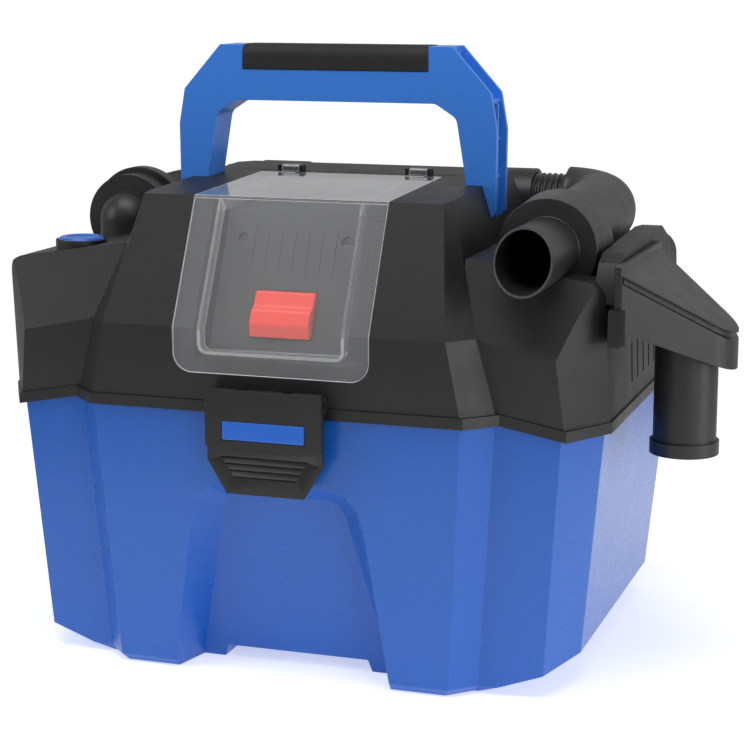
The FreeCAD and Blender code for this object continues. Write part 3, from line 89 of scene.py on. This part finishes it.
def length(name, description, default_mm):
    return FloatProperty(name=name, description=description, default=default_mm * MM, min=0.0, unit="LENGTH",
                         precision=5)


def colour(name, description, code):
    return FloatVectorProperty(name=name, description=description, default=linear(code), subtype="COLOR",
                               size=3, min=0.0, max=1.0)


class VacuumSizes(bpy.types.PropertyGroup):
    tank_edge: length("Tank edge", "Rounding of the tank's creases", 2.6)
    shell_edge: length("Shell edge", "Rounding of the lid housing's edges", 1.3)
    handle_edge: length("Handle edge", "Rounding of the handle's edges", 2.4)
    part_edge: length("Part edge", "Rounding of the small mouldings' edges", 0.7)
    hose_radius: length("Hose radius", "Outside radius over the hose's ribs", 19.3)
    rib_pitch: length("Rib pitch", "Distance between two ribs of the hose", 4.0)
    rib_depth: length("Rib depth", "Depth of the hose's corrugation", 2.2)
    rim_deep: length("Rim depth", "How deep the clear door's inner rim reaches into the bay", 8.0)
    pleats: IntProperty(name="Pleats", description="Pleats round the filter", default=64, min=12, max=160)


class VacuumColours(bpy.types.PropertyGroup):
    tank: colour("Tank", "Moulded tank", "1558B2")
    handle: colour("Handle", "Moulded handle", "3A7EDC")
    inlay: colour("Inlay", "Latch inlays and power button", "2464C8")
    shell: colour("Shell", "Lid housing", "181819")
    trim: colour("Trim", "Skirt, pan and inner mouldings", "1A1A1A")
    hose: colour("Hose", "Hose, fittings and nozzle", "242424")
    rubber: colour("Rubber", "Grip and seals", "141414")
    release: colour("Release", "Battery release button", "F03A28")
    pack: colour("Pack", "Battery pack's case", "2C2C2E")
    paper: colour("Paper", "Filter paper", "E6DFCF")


# ---------------------------------------------------------------- nodes and materials

def add(tree, kind, values=(), feeds=(), **settings):
    """Adds a shader node: its settings, its sockets' values and the sockets that feed it."""
    node = tree.nodes.new(kind)
    for name, value in settings.items():
        setattr(node, name, value)
    for name, value in dict(values).items():
        node.inputs[name].default_value = value
    for name, socket in dict(feeds).items():
        tree.links.new(socket, node.inputs[name])
    return node


def blank(name):
    """A new material with a Principled shader and nothing else."""
    material = bpy.data.materials.new(name)
    material.use_nodes = True
    tree = material.node_tree
    tree.nodes.clear()
    shader = add(tree, "ShaderNodeBsdfPrincipled")
    add(tree, "ShaderNodeOutputMaterial", feeds={"Surface": shader.outputs["BSDF"]})
    return material, tree, shader


def moulded(name, base, ior, polish, rub, grain_mm, grain_deep_mm, uneven=0.10):
    """A moulded plastic: uneven pigment, rubbed patches in the gloss, and the mould's grain as relief."""
    material, tree, shader = blank(name)
    shader.inputs["IOR"].default_value = ior
    place = add(tree, "ShaderNodeTexCoord").outputs["Object"]
    flow = add(tree, "ShaderNodeTexNoise", {"Scale": 1 / (70 * MM), "Detail": 3.0, "Roughness": 0.55},
               {"Vector": place})
    dark = tuple(c * (1 - uneven) for c in base) + (1.0,)
    light = tuple(min(1.0, c * (1 + uneven)) for c in base) + (1.0,)
    pigment = add(tree, "ShaderNodeMix", {6: dark, 7: light}, {0: flow.outputs["Fac"]}, data_type="RGBA")
    tree.links.new(pigment.outputs[2], shader.inputs["Base Color"])
    patches = add(tree, "ShaderNodeTexNoise", {"Scale": 1 / (18 * MM), "Detail": 5.0, "Roughness": 0.62},
                  {"Vector": place})
    gloss = add(tree, "ShaderNodeMapRange", {"From Min": 0.3, "From Max": 0.7, "To Min": polish,
                                             "To Max": polish + rub}, {"Value": patches.outputs["Fac"]})
    tree.links.new(gloss.outputs["Result"], shader.inputs["Roughness"])
    grain = add(tree, "ShaderNodeTexNoise", {"Scale": 1 / (grain_mm * MM), "Detail": 2.0, "Roughness": 0.5},
                {"Vector": place})
    relief = add(tree, "ShaderNodeBump", {"Strength": 0.6, "Distance": grain_deep_mm * MM},
                 {"Height": grain.outputs["Fac"]})
    tree.links.new(relief.outputs["Normal"], shader.inputs["Normal"])
    return material


def polished_polypropylene(name, base):
    """Polypropylene from a polished mould: a waxy gloss with a faint orange peel."""
    return moulded(name, base, 1.49, 0.26, 0.03, 9.0, 0.02, 0.03)


def spark_textured_abs(name, base):
    """ABS from a spark-eroded mould: a dry black whose 0.4 mm grit breaks up the light, drawn at 0.9 mm."""
    return moulded(name, base, 1.5, 0.44, 0.10, 0.9, 0.10, 0.08)


def satin_abs(name, base):
    """ABS from a stoned mould: a soft, even satin with no grit to see."""
    return moulded(name, base, 1.53, 0.36, 0.10, 2.2, 0.03, 0.08)


def blown_polyethylene(name, base):
    """Extruded and blown polyethylene: a greasy satin with a slight waviness along the wall."""
    return moulded(name, base, 1.51, 0.31, 0.12, 5.0, 0.05, 0.08)


def soft_grip_rubber(name, base):
    """Overmoulded elastomer: flat black, the light dies in its fine 0.3 mm matt, drawn at 0.8 mm."""
    return moulded(name, base, 1.5, 0.62, 0.12, 0.8, 0.06, 0.1)


def glossy_abs(name, base):
    """ABS from a mirror-polished mould: a hard bright gloss on small coloured keys."""
    return moulded(name, base, 1.53, 0.20, 0.08, 6.0, 0.02, 0.04)


def clear_polycarbonate(name, haze_and_edge_highlight, polish):
    """Injection-moulded clear polycarbonate: glass-like, with a faint milkiness and slow moulding ripples;
    turned up high, the milkiness is a painted highlight, a white standing in for light along clear edges.
    """
    material, tree, shader = blank(name)
    shader.inputs["Base Color"].default_value = linear("FAFBFC") + (1.0,)
    shader.inputs["IOR"].default_value = 1.585
    shader.inputs["Transmission Weight"].default_value = 1.0 - haze_and_edge_highlight
    place = add(tree, "ShaderNodeTexCoord").outputs["Object"]
    ripple = add(tree, "ShaderNodeTexNoise", {"Scale": 1 / (25 * MM), "Detail": 3.0}, {"Vector": place})
    gloss = add(tree, "ShaderNodeMapRange", {"To Min": polish, "To Max": polish + 0.05},
                {"Value": ripple.outputs["Fac"]})
    tree.links.new(gloss.outputs["Result"], shader.inputs["Roughness"])
    return material


def metal(name, code, roughness, streak_mm):
    """A drawn or plated metal: drawing lines run round or along it and stretch the highlight."""
    material, tree, shader = blank(name)
    shader.inputs["Base Color"].default_value = linear(code) + (1.0,)
    shader.inputs["Metallic"].default_value = 1.0
    place = add(tree, "ShaderNodeTexCoord").outputs["Object"]
    along = add(tree, "ShaderNodeMapping", {"Scale": (1.0, 1.0, 0.06)}, {"Vector": place})
    lines = add(tree, "ShaderNodeTexNoise", {"Scale": 1 / (streak_mm * MM), "Detail": 4.0},
                {"Vector": along.outputs["Vector"]})
    gloss = add(tree, "ShaderNodeMapRange", {"To Min": roughness * 0.8, "To Max": roughness * 1.3},
                {"Value": lines.outputs["Fac"]})
    tree.links.new(gloss.outputs["Result"], shader.inputs["Roughness"])
    return material


def pleated_paper(base):
    """Resin-treated cellulose paper: dry and fibrous, creased along each pleat."""
    material, tree, shader = blank("pleated_filter_paper")
    shader.inputs["Roughness"].default_value = 0.9
    place = add(tree, "ShaderNodeTexCoord").outputs["Object"]
    fibre = add(tree, "ShaderNodeTexNoise", {"Scale": 1 / (1.2 * MM), "Detail": 6.0, "Roughness": 0.7},
                {"Vector": place})
    shade = tuple(c * 0.8 for c in base) + (1.0,)
    pulp = add(tree, "ShaderNodeMix", {6: shade, 7: tuple(base) + (1.0,)}, {0: fibre.outputs["Fac"]},
               data_type="RGBA")
    tree.links.new(pulp.outputs[2], shader.inputs["Base Color"])
    relief = add(tree, "ShaderNodeBump", {"Strength": 0.5, "Distance": 0.15 * MM},
                 {"Height": fibre.outputs["Fac"]})
    tree.links.new(relief.outputs["Normal"], shader.inputs["Normal"])
    return material


# ---------------------------------------------------------------- pieces

WELD = 0.004 * MM
BODY_OF = {node: body for body, nodes in frame["record"]["behaviour"]["bodies"].items() for node in nodes}


def paint(node, material):
    """Gives a CAD node, whose shape is right as it is, its finish."""
    for slot in frame["nodes"][node].material_slots:
        slot.link = "OBJECT"
        slot.material = material


def shown(name, mesh, node, material, body=None):
    """Puts a new piece in a CAD node's place, on that node's body."""
    piece = bpy.data.objects.new(name, mesh)
    bpy.context.scene.collection.objects.link(piece)
    mesh.materials.clear()
    mesh.materials.append(material)
    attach(piece, body or BODY_OF[node])
    if body is None:
        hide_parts(node)
    return piece


def rounded(node, material, radius, crease=24.0, steps=3, weigh=None, merge=True):
    """A copy of a CAD node with its edges rounded, as a mould leaves them."""
    mesh = bpy.data.meshes.new(node + "_moulding")
    bm = bmesh.new()
    bm.from_mesh(frame["nodes"][node].data)
    bmesh.ops.remove_doubles(bm, verts=bm.verts, dist=WELD)
    bmesh.ops.dissolve_degenerate(bm, dist=WELD / 2, edges=bm.edges)
    if merge:
        bmesh.ops.dissolve_limit(bm, angle_limit=math.radians(0.4), verts=bm.verts, edges=bm.edges)
    weight = bm.edges.layers.float.new("bevel_weight_edge")
    for edge in bm.edges:
        sharp = len(edge.link_faces) == 2 and edge.calc_face_angle(0.0) > math.radians(crease)
        edge[weight] = (weigh(edge) if weigh else 1.0) if sharp else 0.0
    for face in bm.faces:
        face.smooth = True
    bm.to_mesh(mesh)
    bm.free()
    piece = shown(node + "_moulding", mesh, node, material)
    bevel = piece.modifiers.new("Rounding", "BEVEL")
    bevel.limit_method = "WEIGHT"
    bevel.width = radius
    bevel.segments = steps
    bevel.use_clamp_overlap = True
    bevel.miter_outer = "MITER_ARC"
    bevel.harden_normals = True
    normals = piece.modifiers.new("Normals", "WEIGHTED_NORMAL")
    normals.keep_sharp = True
    return piece


class VACUUM_OT_tank(bpy.types.Operator):
    """The tank, with its creases rounded"""
    bl_idname = "vacuum.tank"
    bl_label = "Tank"

    def execute(self, context):
        sizes, colours = context.scene.vacuum_sizes, context.scene.vacuum_colours
        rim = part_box("tank")[1].z - 9 * MM

        def weigh(edge):
            return 0.3 if min(v.co.z for v in edge.verts) > rim else 1.0
        rounded("tank", polished_polypropylene("polished_blue_polypropylene", colours.tank), sizes.tank_edge,
                12.0, 4, weigh)
        return {"FINISHED"}


class VACUUM_OT_shell(bpy.types.Operator):
    """The lid's pan, housing, bracket and clips"""
    bl_idname = "vacuum.shell"
    bl_label = "Lid shell"

    def execute(self, context):
        sizes, colours = context.scene.vacuum_sizes, context.scene.vacuum_colours
        grit = spark_textured_abs("spark_textured_black_abs", colours.shell)
        satin = satin_abs("satin_black_abs", colours.trim)
        rounded("top_housing", grit, sizes.shell_edge)
        rounded("lid_pan", satin, sizes.part_edge)
        rounded("nozzle_bracket", grit, sizes.shell_edge)
        rounded("hose_clip_left", satin, sizes.part_edge)
        rounded("hose_clip_right", satin, sizes.part_edge)
        rounded("battery_bay", satin, sizes.part_edge)
        rounded("button_bezel", satin, sizes.part_edge)
        paint("lid_gasket", soft_grip_rubber("seal_rubber", colours.rubber))
        paint("power_switch", satin)
        paint("housing_screws", metal("zinc_plated_steel", "A9ABAD", 0.34, 0.6))
        oxide = metal("black_oxide_steel", "2B2B2D", 0.42, 0.6)
        for node in ("door_hinge_pins", "front_latch_pin", "rear_latch_pin"):
            paint(node, oxide)
        return {"FINISHED"}


class VACUUM_OT_handle(bpy.types.Operator):
    """The carry handle and its rubber grip"""
    bl_idname = "vacuum.handle"
    bl_label = "Handle"

    def execute(self, context):
        sizes, colours = context.scene.vacuum_sizes, context.scene.vacuum_colours
        blue = polished_polypropylene("satin_blue_polypropylene", colours.handle)
        rounded("handle", blue, sizes.handle_edge)
        rounded("handle_grip", soft_grip_rubber("overmoulded_grip_rubber", colours.rubber), sizes.part_edge)
        return {"FINISHED"}


# The door's inner skin from its foot to its rear, as (y, z) in millimetres, and half the rim's width.
DOOR_SKIN = ((-154.5, 208.4), (-154.5, 224.4), (-117.0, 299.4), (-27.0, 303.0))
RIM_HALF = 47.6
RIM_CORNER = 6.0
RIM_THICK = 2.0


def skin_at(run):
    """The point a run up the door's inner skin, and the way into the bay there, in millimetres."""
    for (y, z), (far_y, far_z) in zip(DOOR_SKIN, DOOR_SKIN[1:]):
        reach = math.hypot(far_y - y, far_z - z)
        if run <= reach or (far_y, far_z) == DOOR_SKIN[-1]:
            way = ((far_y - y) / reach, (far_z - z) / reach)
            return (y + way[0] * run, z + way[1] * run), (way[1], -way[0])
        run -= reach


def rim_loop(half, corner, low, high):
    """A rounded rectangle of (x, run) points round the door's window."""
    points = []
    for x, run, start in ((half - corner, low + corner, -90), (half - corner, high - corner, 0),
                          (corner - half, high - corner, 90), (corner - half, low + corner, 180)):
        for step in range(7):
            turn = math.radians(start + step * 15)
            points.append((x + corner * math.cos(turn), run + corner * math.sin(turn)))
    return points


def door_rim_mesh(deep):
    """The rim that stands in from the door's skin round its window."""
    length_up = sum(math.hypot(b[0] - a[0], b[1] - a[1]) for a, b in zip(DOOR_SKIN, DOOR_SKIN[1:]))
    creases = [16.0, 16.0 + math.hypot(37.5, 75.0)]
    bm = bmesh.new()
    loops = []
    for inset in (0.0, RIM_THICK):
        outline = rim_loop(RIM_HALF - inset, RIM_CORNER - inset, inset, length_up - inset)
        full = []
        for (x, run), (next_x, next_run) in zip(outline, outline[1:] + outline[:1]):
            full.append((x, run))
            cuts = [c for c in creases if min(run, next_run) < c < max(run, next_run)]
            for c in sorted(cuts, reverse=next_run < run):
                for near in ((-1.5, 1.5) if next_run > run else (1.5, -1.5)):
                    full.append((x, c + near))
        loops.append(full)
    levels = []
    for depth in (0.0, deep / MM):
        for loop in loops:
            ring = []
            for x, run in loop:
                (y, z), (in_y, in_z) = skin_at(run)
                ring.append(bm.verts.new((x * MM, (y + in_y * depth) * MM, (z + in_z * depth) * MM)))
            levels.append(ring)
    skin_out, skin_in, deep_out, deep_in = levels
    count = len(skin_out)
    # the rim's two end faces take material 1, the milky copy of the clear plastic: a painted highlight for
    # the white lines light draws along the moulding's edges; the rim's walls stay clear
    for a, b, painted_highlight in ((skin_out, skin_in, 1), (deep_in, deep_out, 1), (deep_out, skin_out, 0),
                      (skin_in, deep_in, 0)):
        for k in range(count):
            face = bm.faces.new((a[k], a[(k + 1) % count], b[(k + 1) % count], b[k]))
            face.material_index = painted_highlight
    bmesh.ops.recalc_face_normals(bm, faces=bm.faces)
    mesh = bpy.data.meshes.new("door_rim")
    bm.to_mesh(mesh)
    bm.free()
    return mesh


class VACUUM_OT_door(bpy.types.Operator):
    """The clear battery door and its inner rim"""
    bl_idname = "vacuum.door"
    bl_label = "Battery door"

    def execute(self, context):
        sizes = context.scene.vacuum_sizes
        clear = clear_polycarbonate("clear_polycarbonate", 0.05, 0.02)
        # the heavily hazed second material is a painted highlight: it whitens the door's rounded edges and
        # the rim's end faces where light catches the clear moulding
        painted_highlight = clear_polycarbonate("painted_edge_highlight_polycarbonate", 0.75, 0.2)
        crease_low, crease_high = 220 * MM, 229 * MM

        def weigh(edge):
            a, b = edge.verts
            soft = crease_low < min(a.co.z, b.co.z) and max(a.co.z, b.co.z) < crease_high
            return 0.0 if soft else 1.0
        door = rounded("battery_door", clear, sizes.part_edge, weigh=weigh)
        door.data.materials.append(painted_highlight)
        # the door's rounded edges take the milky second material, a painted highlight
        door.modifiers["Rounding"].material = 1
        rim = shown("door_rim", door_rim_mesh(sizes.rim_deep), "battery_door", clear, "door")
        rim.data.materials.append(painted_highlight)
        # light piped through the moulding reaches the pack, so neither piece casts a shadow
        door.visible_shadow = False
        rim.visible_shadow = False
        return {"FINISHED"}


class VACUUM_OT_battery(bpy.types.Operator):
    """The battery pack and its red release"""
    bl_idname = "vacuum.battery"
    bl_label = "Battery"

    def execute(self, context):
        sizes, colours = context.scene.vacuum_sizes, context.scene.vacuum_colours
        grit = spark_textured_abs("spark_textured_pack_abs", colours.pack)
        rounded("battery_case", grit, sizes.part_edge * 1.6)
        rounded("release_button", glossy_abs("glossy_red_abs", colours.release), sizes.part_edge * 1.4)
        paint("battery_screws", metal("blackened_steel", "6E6F71", 0.36, 0.6))
        paint("battery_cells", glossy_abs("cell_shrink_sleeve", linear("2A6F9E")))
        paint("battery_terminals", satin_abs("terminal_block_nylon", colours.trim))
        return {"FINISHED"}


class VACUUM_OT_latches(bpy.types.Operator):
    """Both latches and their inlays"""
    bl_idname = "vacuum.latches"
    bl_label = "Latches"

    def execute(self, context):
        sizes, colours = context.scene.vacuum_sizes, context.scene.vacuum_colours
        satin = satin_abs("satin_latch_abs", colours.trim)
        blue = glossy_abs("glossy_blue_abs", colours.inlay)
        step_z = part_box("front_latch_inlay")[0].z - 6 * MM
        grooves_x, grooves_low = 29 * MM, step_z - 20 * MM

        def weigh(edge):
            groove = all(grooves_low < v.co.z < step_z and abs(v.co.x) < grooves_x for v in edge.verts)
            return 0.0 if groove else 1.0
        for end in ("front", "rear"):
            rounded(end + "_latch", satin, sizes.part_edge, weigh=weigh, merge=False)
            rounded(end + "_latch_inlay", blue, sizes.part_edge)
        rounded("power_button", blue, sizes.part_edge)
        return {"FINISHED"}


# The stowed hose's control points in millimetres: out of the nut, round the corner, through the clips.
HOSE_ROUTE = ((-155.5, 6.0, 273.3), (-155.5, 8.5, 273.6), (-155.5, 51.5, 279.1), (-125.0, 82.0, 283.0),
              (-82.0, 82.0, 283.0), (20.0, 82.0, 283.0), (128.0, 82.0, 283.0))


def hose_line():
    """Points along the smooth line of the hose's route."""
    curve = bpy.data.curves.new("hose_route", "CURVE")
    curve.dimensions = "3D"
    curve.resolution_u = 16
    spline = curve.splines.new("NURBS")
    spline.points.add(len(HOSE_ROUTE) - 1)
    for point, at in zip(spline.points, HOSE_ROUTE):
        point.co = (at[0] * MM, at[1] * MM, at[2] * MM, 1.0)
    spline.order_u = 3
    spline.use_endpoint_u = True
    route = bpy.data.objects.new("hose_route", curve)
    mesh = bpy.data.meshes.new_from_object(route)
    line = [v.co.copy() for v in mesh.vertices]
    bpy.data.objects.remove(route)
    bpy.data.curves.remove(curve)
    bpy.data.meshes.remove(mesh)
    return line


def along(line, step):
    """Points and directions every step along a line of points."""
    out = []
    left = 0.0
    for a, b in zip(line, line[1:]):
        run = (b - a).length
        way = (b - a).normalized()
        while left <= run:
            out.append((a + way * left, way))
            left += step
        left -= run
    return out


def ribbed_tube(name, line, outside, pitch, deep, around=56, steps=6):
    """A corrugated hose's mesh, with its rings square to the line."""
    bm = bmesh.new()
    rings = []
    up = Vector((0, 0, 1))
    places = along(line, pitch / steps)
    for i, (at, way) in enumerate(places):
        side = way.cross(up).normalized()
        rise = side.cross(way).normalized()
        wave = 0.5 - 0.5 * math.cos(2 * math.pi * i / steps)
        r = outside - deep * wave ** 1.4
        rings.append([bm.verts.new(at + (side * math.cos(t) + rise * math.sin(t)) * r)
                      for t in (2 * math.pi * k / around for k in range(around))])
    for a, b in zip(rings, rings[1:]):
        for k in range(around):
            bm.faces.new((a[k], a[(k + 1) % around], b[(k + 1) % around], b[k]))
    for ring in (rings[0][::-1], rings[-1]):
        bm.faces.new(ring)
    bmesh.ops.recalc_face_normals(bm, faces=bm.faces)
    for face in bm.faces:
        face.smooth = len(face.verts) == 4
    mesh = bpy.data.meshes.new(name)
    bm.to_mesh(mesh)
    bm.free()
    return mesh


class VACUUM_OT_hose(bpy.types.Operator):
    """The ribbed hose and its fittings"""
    bl_idname = "vacuum.hose"
    bl_label = "Hose"

    def execute(self, context):
        sizes, colours = context.scene.vacuum_sizes, context.scene.vacuum_colours
        blown = blown_polyethylene("blown_black_polyethylene", colours.hose)
        mesh = ribbed_tube("hose_ribbed", hose_line(), sizes.hose_radius, sizes.rib_pitch, sizes.rib_depth)
        shown("hose_ribbed", mesh, "hose", blown)
        fitting = satin_abs("satin_hose_fitting_abs", colours.hose)
        for node in ("inlet_elbow", "hose_nut", "hose_adapter", "hose_cuff"):
            rounded(node, fitting, sizes.part_edge)
        return {"FINISHED"}


class VACUUM_OT_nozzle(bpy.types.Operator):
    """The stored utility nozzle"""
    bl_idname = "vacuum.nozzle"
    bl_label = "Nozzle"

    def execute(self, context):
        sizes, colours = context.scene.vacuum_sizes, context.scene.vacuum_colours
        rounded("utility_nozzle", satin_abs("satin_nozzle_abs", colours.hose), sizes.shell_edge)
        return {"FINISHED"}


class VACUUM_OT_motor(bpy.types.Operator):
    """The motor, fan and board inside the lid"""
    bl_idname = "vacuum.motor"
    bl_label = "Motor"

    def execute(self, context):
        colours = context.scene.vacuum_colours
        steel = metal("deep_drawn_steel", "9EA0A2", 0.32, 1.0)
        paint("motor_can", steel)
        paint("motor_shaft", steel)
        paint("motor_bearings", steel)
        paint("motor_magnets", metal("sintered_ferrite", "3A3A3C", 0.6, 1.2))
        paint("armature", metal("enamelled_copper_winding", "B5602E", 0.3, 0.8))
        paint("impeller", satin_abs("moulded_white_nylon", linear("C9C7BF")))
        paint("fan_housing", satin_abs("fan_housing_abs", colours.trim))
        paint("circuit_board", satin_abs("solder_masked_laminate", linear("1E6B3A")))
        paint("battery_lead", glossy_abs("red_lead_insulation", linear("A81C18")))
        return {"FINISHED"}


# The pleats' inner folds, as a radius, and the paper's thickness.
PLEAT_INNER = 43.4 * MM
PAPER_THICK = 1.2 * MM


class VACUUM_OT_filter(bpy.types.Operator):
    """The filter under the lid and its float"""
    bl_idname = "vacuum.filter"
    bl_label = "Filter"

    def execute(self, context):
        sizes, colours = context.scene.vacuum_sizes, context.scene.vacuum_colours
        low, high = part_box("filter_element")
        centre = (low + high) / 2
        outer = (high.x - low.x) / 2 - 0.2 * MM
        inner = PLEAT_INNER
        bm = bmesh.new()
        count = sizes.pleats * 2
        levels = []
        for z in (low.z, high.z):
            wall_out, wall_in = [], []
            for k in range(count):
                turn = 2 * math.pi * k / count
                way = Vector((math.cos(turn), math.sin(turn), 0))
                at = Vector((centre.x, centre.y, z))
                r = outer if k % 2 else inner
                wall_out.append(bm.verts.new(at + way * r))
                wall_in.append(bm.verts.new(at + way * (r - PAPER_THICK)))
            levels.append((wall_out, wall_in))
        (low_out, low_in), (high_out, high_in) = levels
        for k in range(count):
            j = (k + 1) % count
            bm.faces.new((low_out[k], low_out[j], high_out[j], high_out[k]))
            bm.faces.new((low_in[j], low_in[k], high_in[k], high_in[j]))
            bm.faces.new((low_out[j], low_out[k], low_in[k], low_in[j]))
            bm.faces.new((high_out[k], high_out[j], high_in[j], high_in[k]))
        mesh = bpy.data.meshes.new("filter_pleats")
        bm.to_mesh(mesh)
        bm.free()
        shown("filter_pleats", mesh, "filter_element", pleated_paper(colours.paper))
        satin = satin_abs("filter_cage_polypropylene", colours.trim)
        rounded("filter_cage", satin, sizes.part_edge)
        rounded("filter_cap", soft_grip_rubber("filter_cap_rubber", colours.rubber), sizes.part_edge * 2)
        paint("float_ball", satin_abs("blown_white_float", linear("D8D7D2")))
        return {"FINISHED"}


def pale_floor():
    """A matt white sweep that fades out towards its rim, so it has no horizon."""
    material, tree, shader = blank("pale_studio_floor")
    shader.inputs["Base Color"].default_value = linear("FCFCFC") + (1.0,)
    shader.inputs["Roughness"].default_value = 0.85
    shader.inputs["Emission Color"].default_value = (1.0, 1.0, 1.0, 1.0)
    shader.inputs["Emission Strength"].default_value = 0.50
    place = add(tree, "ShaderNodeTexCoord").outputs["Object"]
    out = add(tree, "ShaderNodeVectorMath", feeds={0: place}, operation="LENGTH")
    fade = add(tree, "ShaderNodeMapRange",
               {"From Min": 0.45, "From Max": 0.85, "To Min": 1.0, "To Max": 0.0},
               {"Value": out.outputs["Value"]}, interpolation_type="SMOOTHSTEP")
    tree.links.new(fade.outputs["Result"], shader.inputs["Alpha"])
    return material


def studio_world():
    """White behind the object, and round it a soft room that is dim in front and bright behind."""
    world = bpy.data.worlds.new("studio")
    world.use_nodes = True
    tree = world.node_tree
    tree.nodes.clear()
    ray = add(tree, "ShaderNodeTexCoord").outputs["Generated"]
    way = add(tree, "ShaderNodeSeparateXYZ", feeds={"Vector": ray})
    depth = add(tree, "ShaderNodeMapRange",
                {"From Min": -1.0, "From Max": 1.0, "To Min": 0.20, "To Max": 0.50},
                {"Value": way.outputs["Y"]})
    seen = add(tree, "ShaderNodeBackground", {"Color": (1, 1, 1, 1), "Strength": 1.05})
    soft = add(tree, "ShaderNodeBackground", {"Color": (1, 1, 1, 1)}, {"Strength": depth.outputs["Result"]})
    path = add(tree, "ShaderNodeLightPath")
    both = add(tree, "ShaderNodeMixShader", feeds={
        0: path.outputs["Is Camera Ray"], 1: soft.outputs["Background"], 2: seen.outputs["Background"]})
    add(tree, "ShaderNodeOutputWorld", feeds={"Surface": both.outputs["Shader"]})
    return world


# The lens and sensor in millimetres, the camera's place in metres and its turn in degrees.
LENS = 96.17
SENSOR = 36.0
CAMERA_AT = (0.4378, -1.2632, 0.4359)
LOOKS_DOWN = 11.3
LOOKS_LEFT = 18.5
# The floor is a disc just under the part, so that the two never share a plane.
FLOOR_RADIUS = 1.6
FLOOR_DROP = 0.3 * MM


class VACUUM_OT_stage(bpy.types.Operator):
    """Floor, soft lights, world and camera"""
    bl_idname = "vacuum.stage"
    bl_label = "Stage"

    def execute(self, context):
        scene = context.scene
        scene.view_settings.view_transform = "Standard"
        mesh = bpy.data.meshes.new("floor")
        bm = bmesh.new()
        bmesh.ops.create_circle(bm, cap_ends=True, segments=96, radius=FLOOR_RADIUS)
        bm.to_mesh(mesh)
        bm.free()
        floor = bpy.data.objects.new("floor", mesh)
        scene.collection.objects.link(floor)
        mesh.materials.append(pale_floor())
        floor.location.z = -FLOOR_DROP
        floor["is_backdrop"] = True
        scene.world = studio_world()
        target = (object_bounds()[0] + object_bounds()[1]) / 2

        def softbox(name, at, wide, tall, watts):
            light = bpy.data.lights.new(name, "AREA")
            light.shape = "RECTANGLE"
            light.size = wide
            light.size_y = tall
            light.energy = watts
            lamp = bpy.data.objects.new(name, light)
            lamp.location = at
            lamp.rotation_euler = (Vector(at) - target).to_track_quat("Z", "Y").to_euler()
            scene.collection.objects.link(lamp)

        softbox("overhead_softbox", (0.0, -0.5, 1.6), 1.4, 0.9, 12)
        softbox("left_softbox", (-1.5, -1.0, 0.9), 0.7, 1.0, 7)
        softbox("right_softbox", (1.7, -0.35, 0.35), 0.9, 0.9, 9)
        softbox("front_right_strip", (1.25, -1.3, 0.60), 0.4, 1.0, 5)
        camera = bpy.data.objects.new("camera", bpy.data.cameras.new("camera"))
        camera.data.lens = LENS
        camera.data.sensor_width = SENSOR
        camera.data.clip_end = 20
        camera.location = CAMERA_AT
        camera.rotation_euler = Euler((math.radians(90 - LOOKS_DOWN), 0, math.radians(LOOKS_LEFT)))
        scene.collection.objects.link(camera)
        scene.camera = camera
        return {"FINISHED"}


class VACUUM_PT_build(bpy.types.Panel):
    """Lists the pieces in the sidebar"""
    bl_label = "Shop vacuum"
    bl_space_type = "VIEW_3D"
    bl_region_type = "UI"
    bl_category = "Vacuum"

    def draw(self, context):
        for step in STEPS:
            self.layout.operator(step.bl_idname)


STEPS = (VACUUM_OT_tank, VACUUM_OT_shell, VACUUM_OT_handle, VACUUM_OT_door, VACUUM_OT_battery,
         VACUUM_OT_latches, VACUUM_OT_hose, VACUUM_OT_nozzle, VACUUM_OT_motor, VACUUM_OT_filter,
         VACUUM_OT_stage)
CLASSES = (VacuumSizes, VacuumColours) + STEPS + (VACUUM_PT_build,)


def register():
    for each in CLASSES:
        bpy.utils.register_class(each)
    bpy.types.Scene.vacuum_sizes = PointerProperty(type=VacuumSizes)
    bpy.types.Scene.vacuum_colours = PointerProperty(type=VacuumColours)


def unregister():
    del bpy.types.Scene.vacuum_colours
    del bpy.types.Scene.vacuum_sizes
    for each in reversed(CLASSES):
        bpy.utils.unregister_class(each)


def main():
    register()
    for step in STEPS:
        group, name = step.bl_idname.split(".")
        getattr(getattr(bpy.ops, group), name)()


if __name__ == "__main__":
    main()
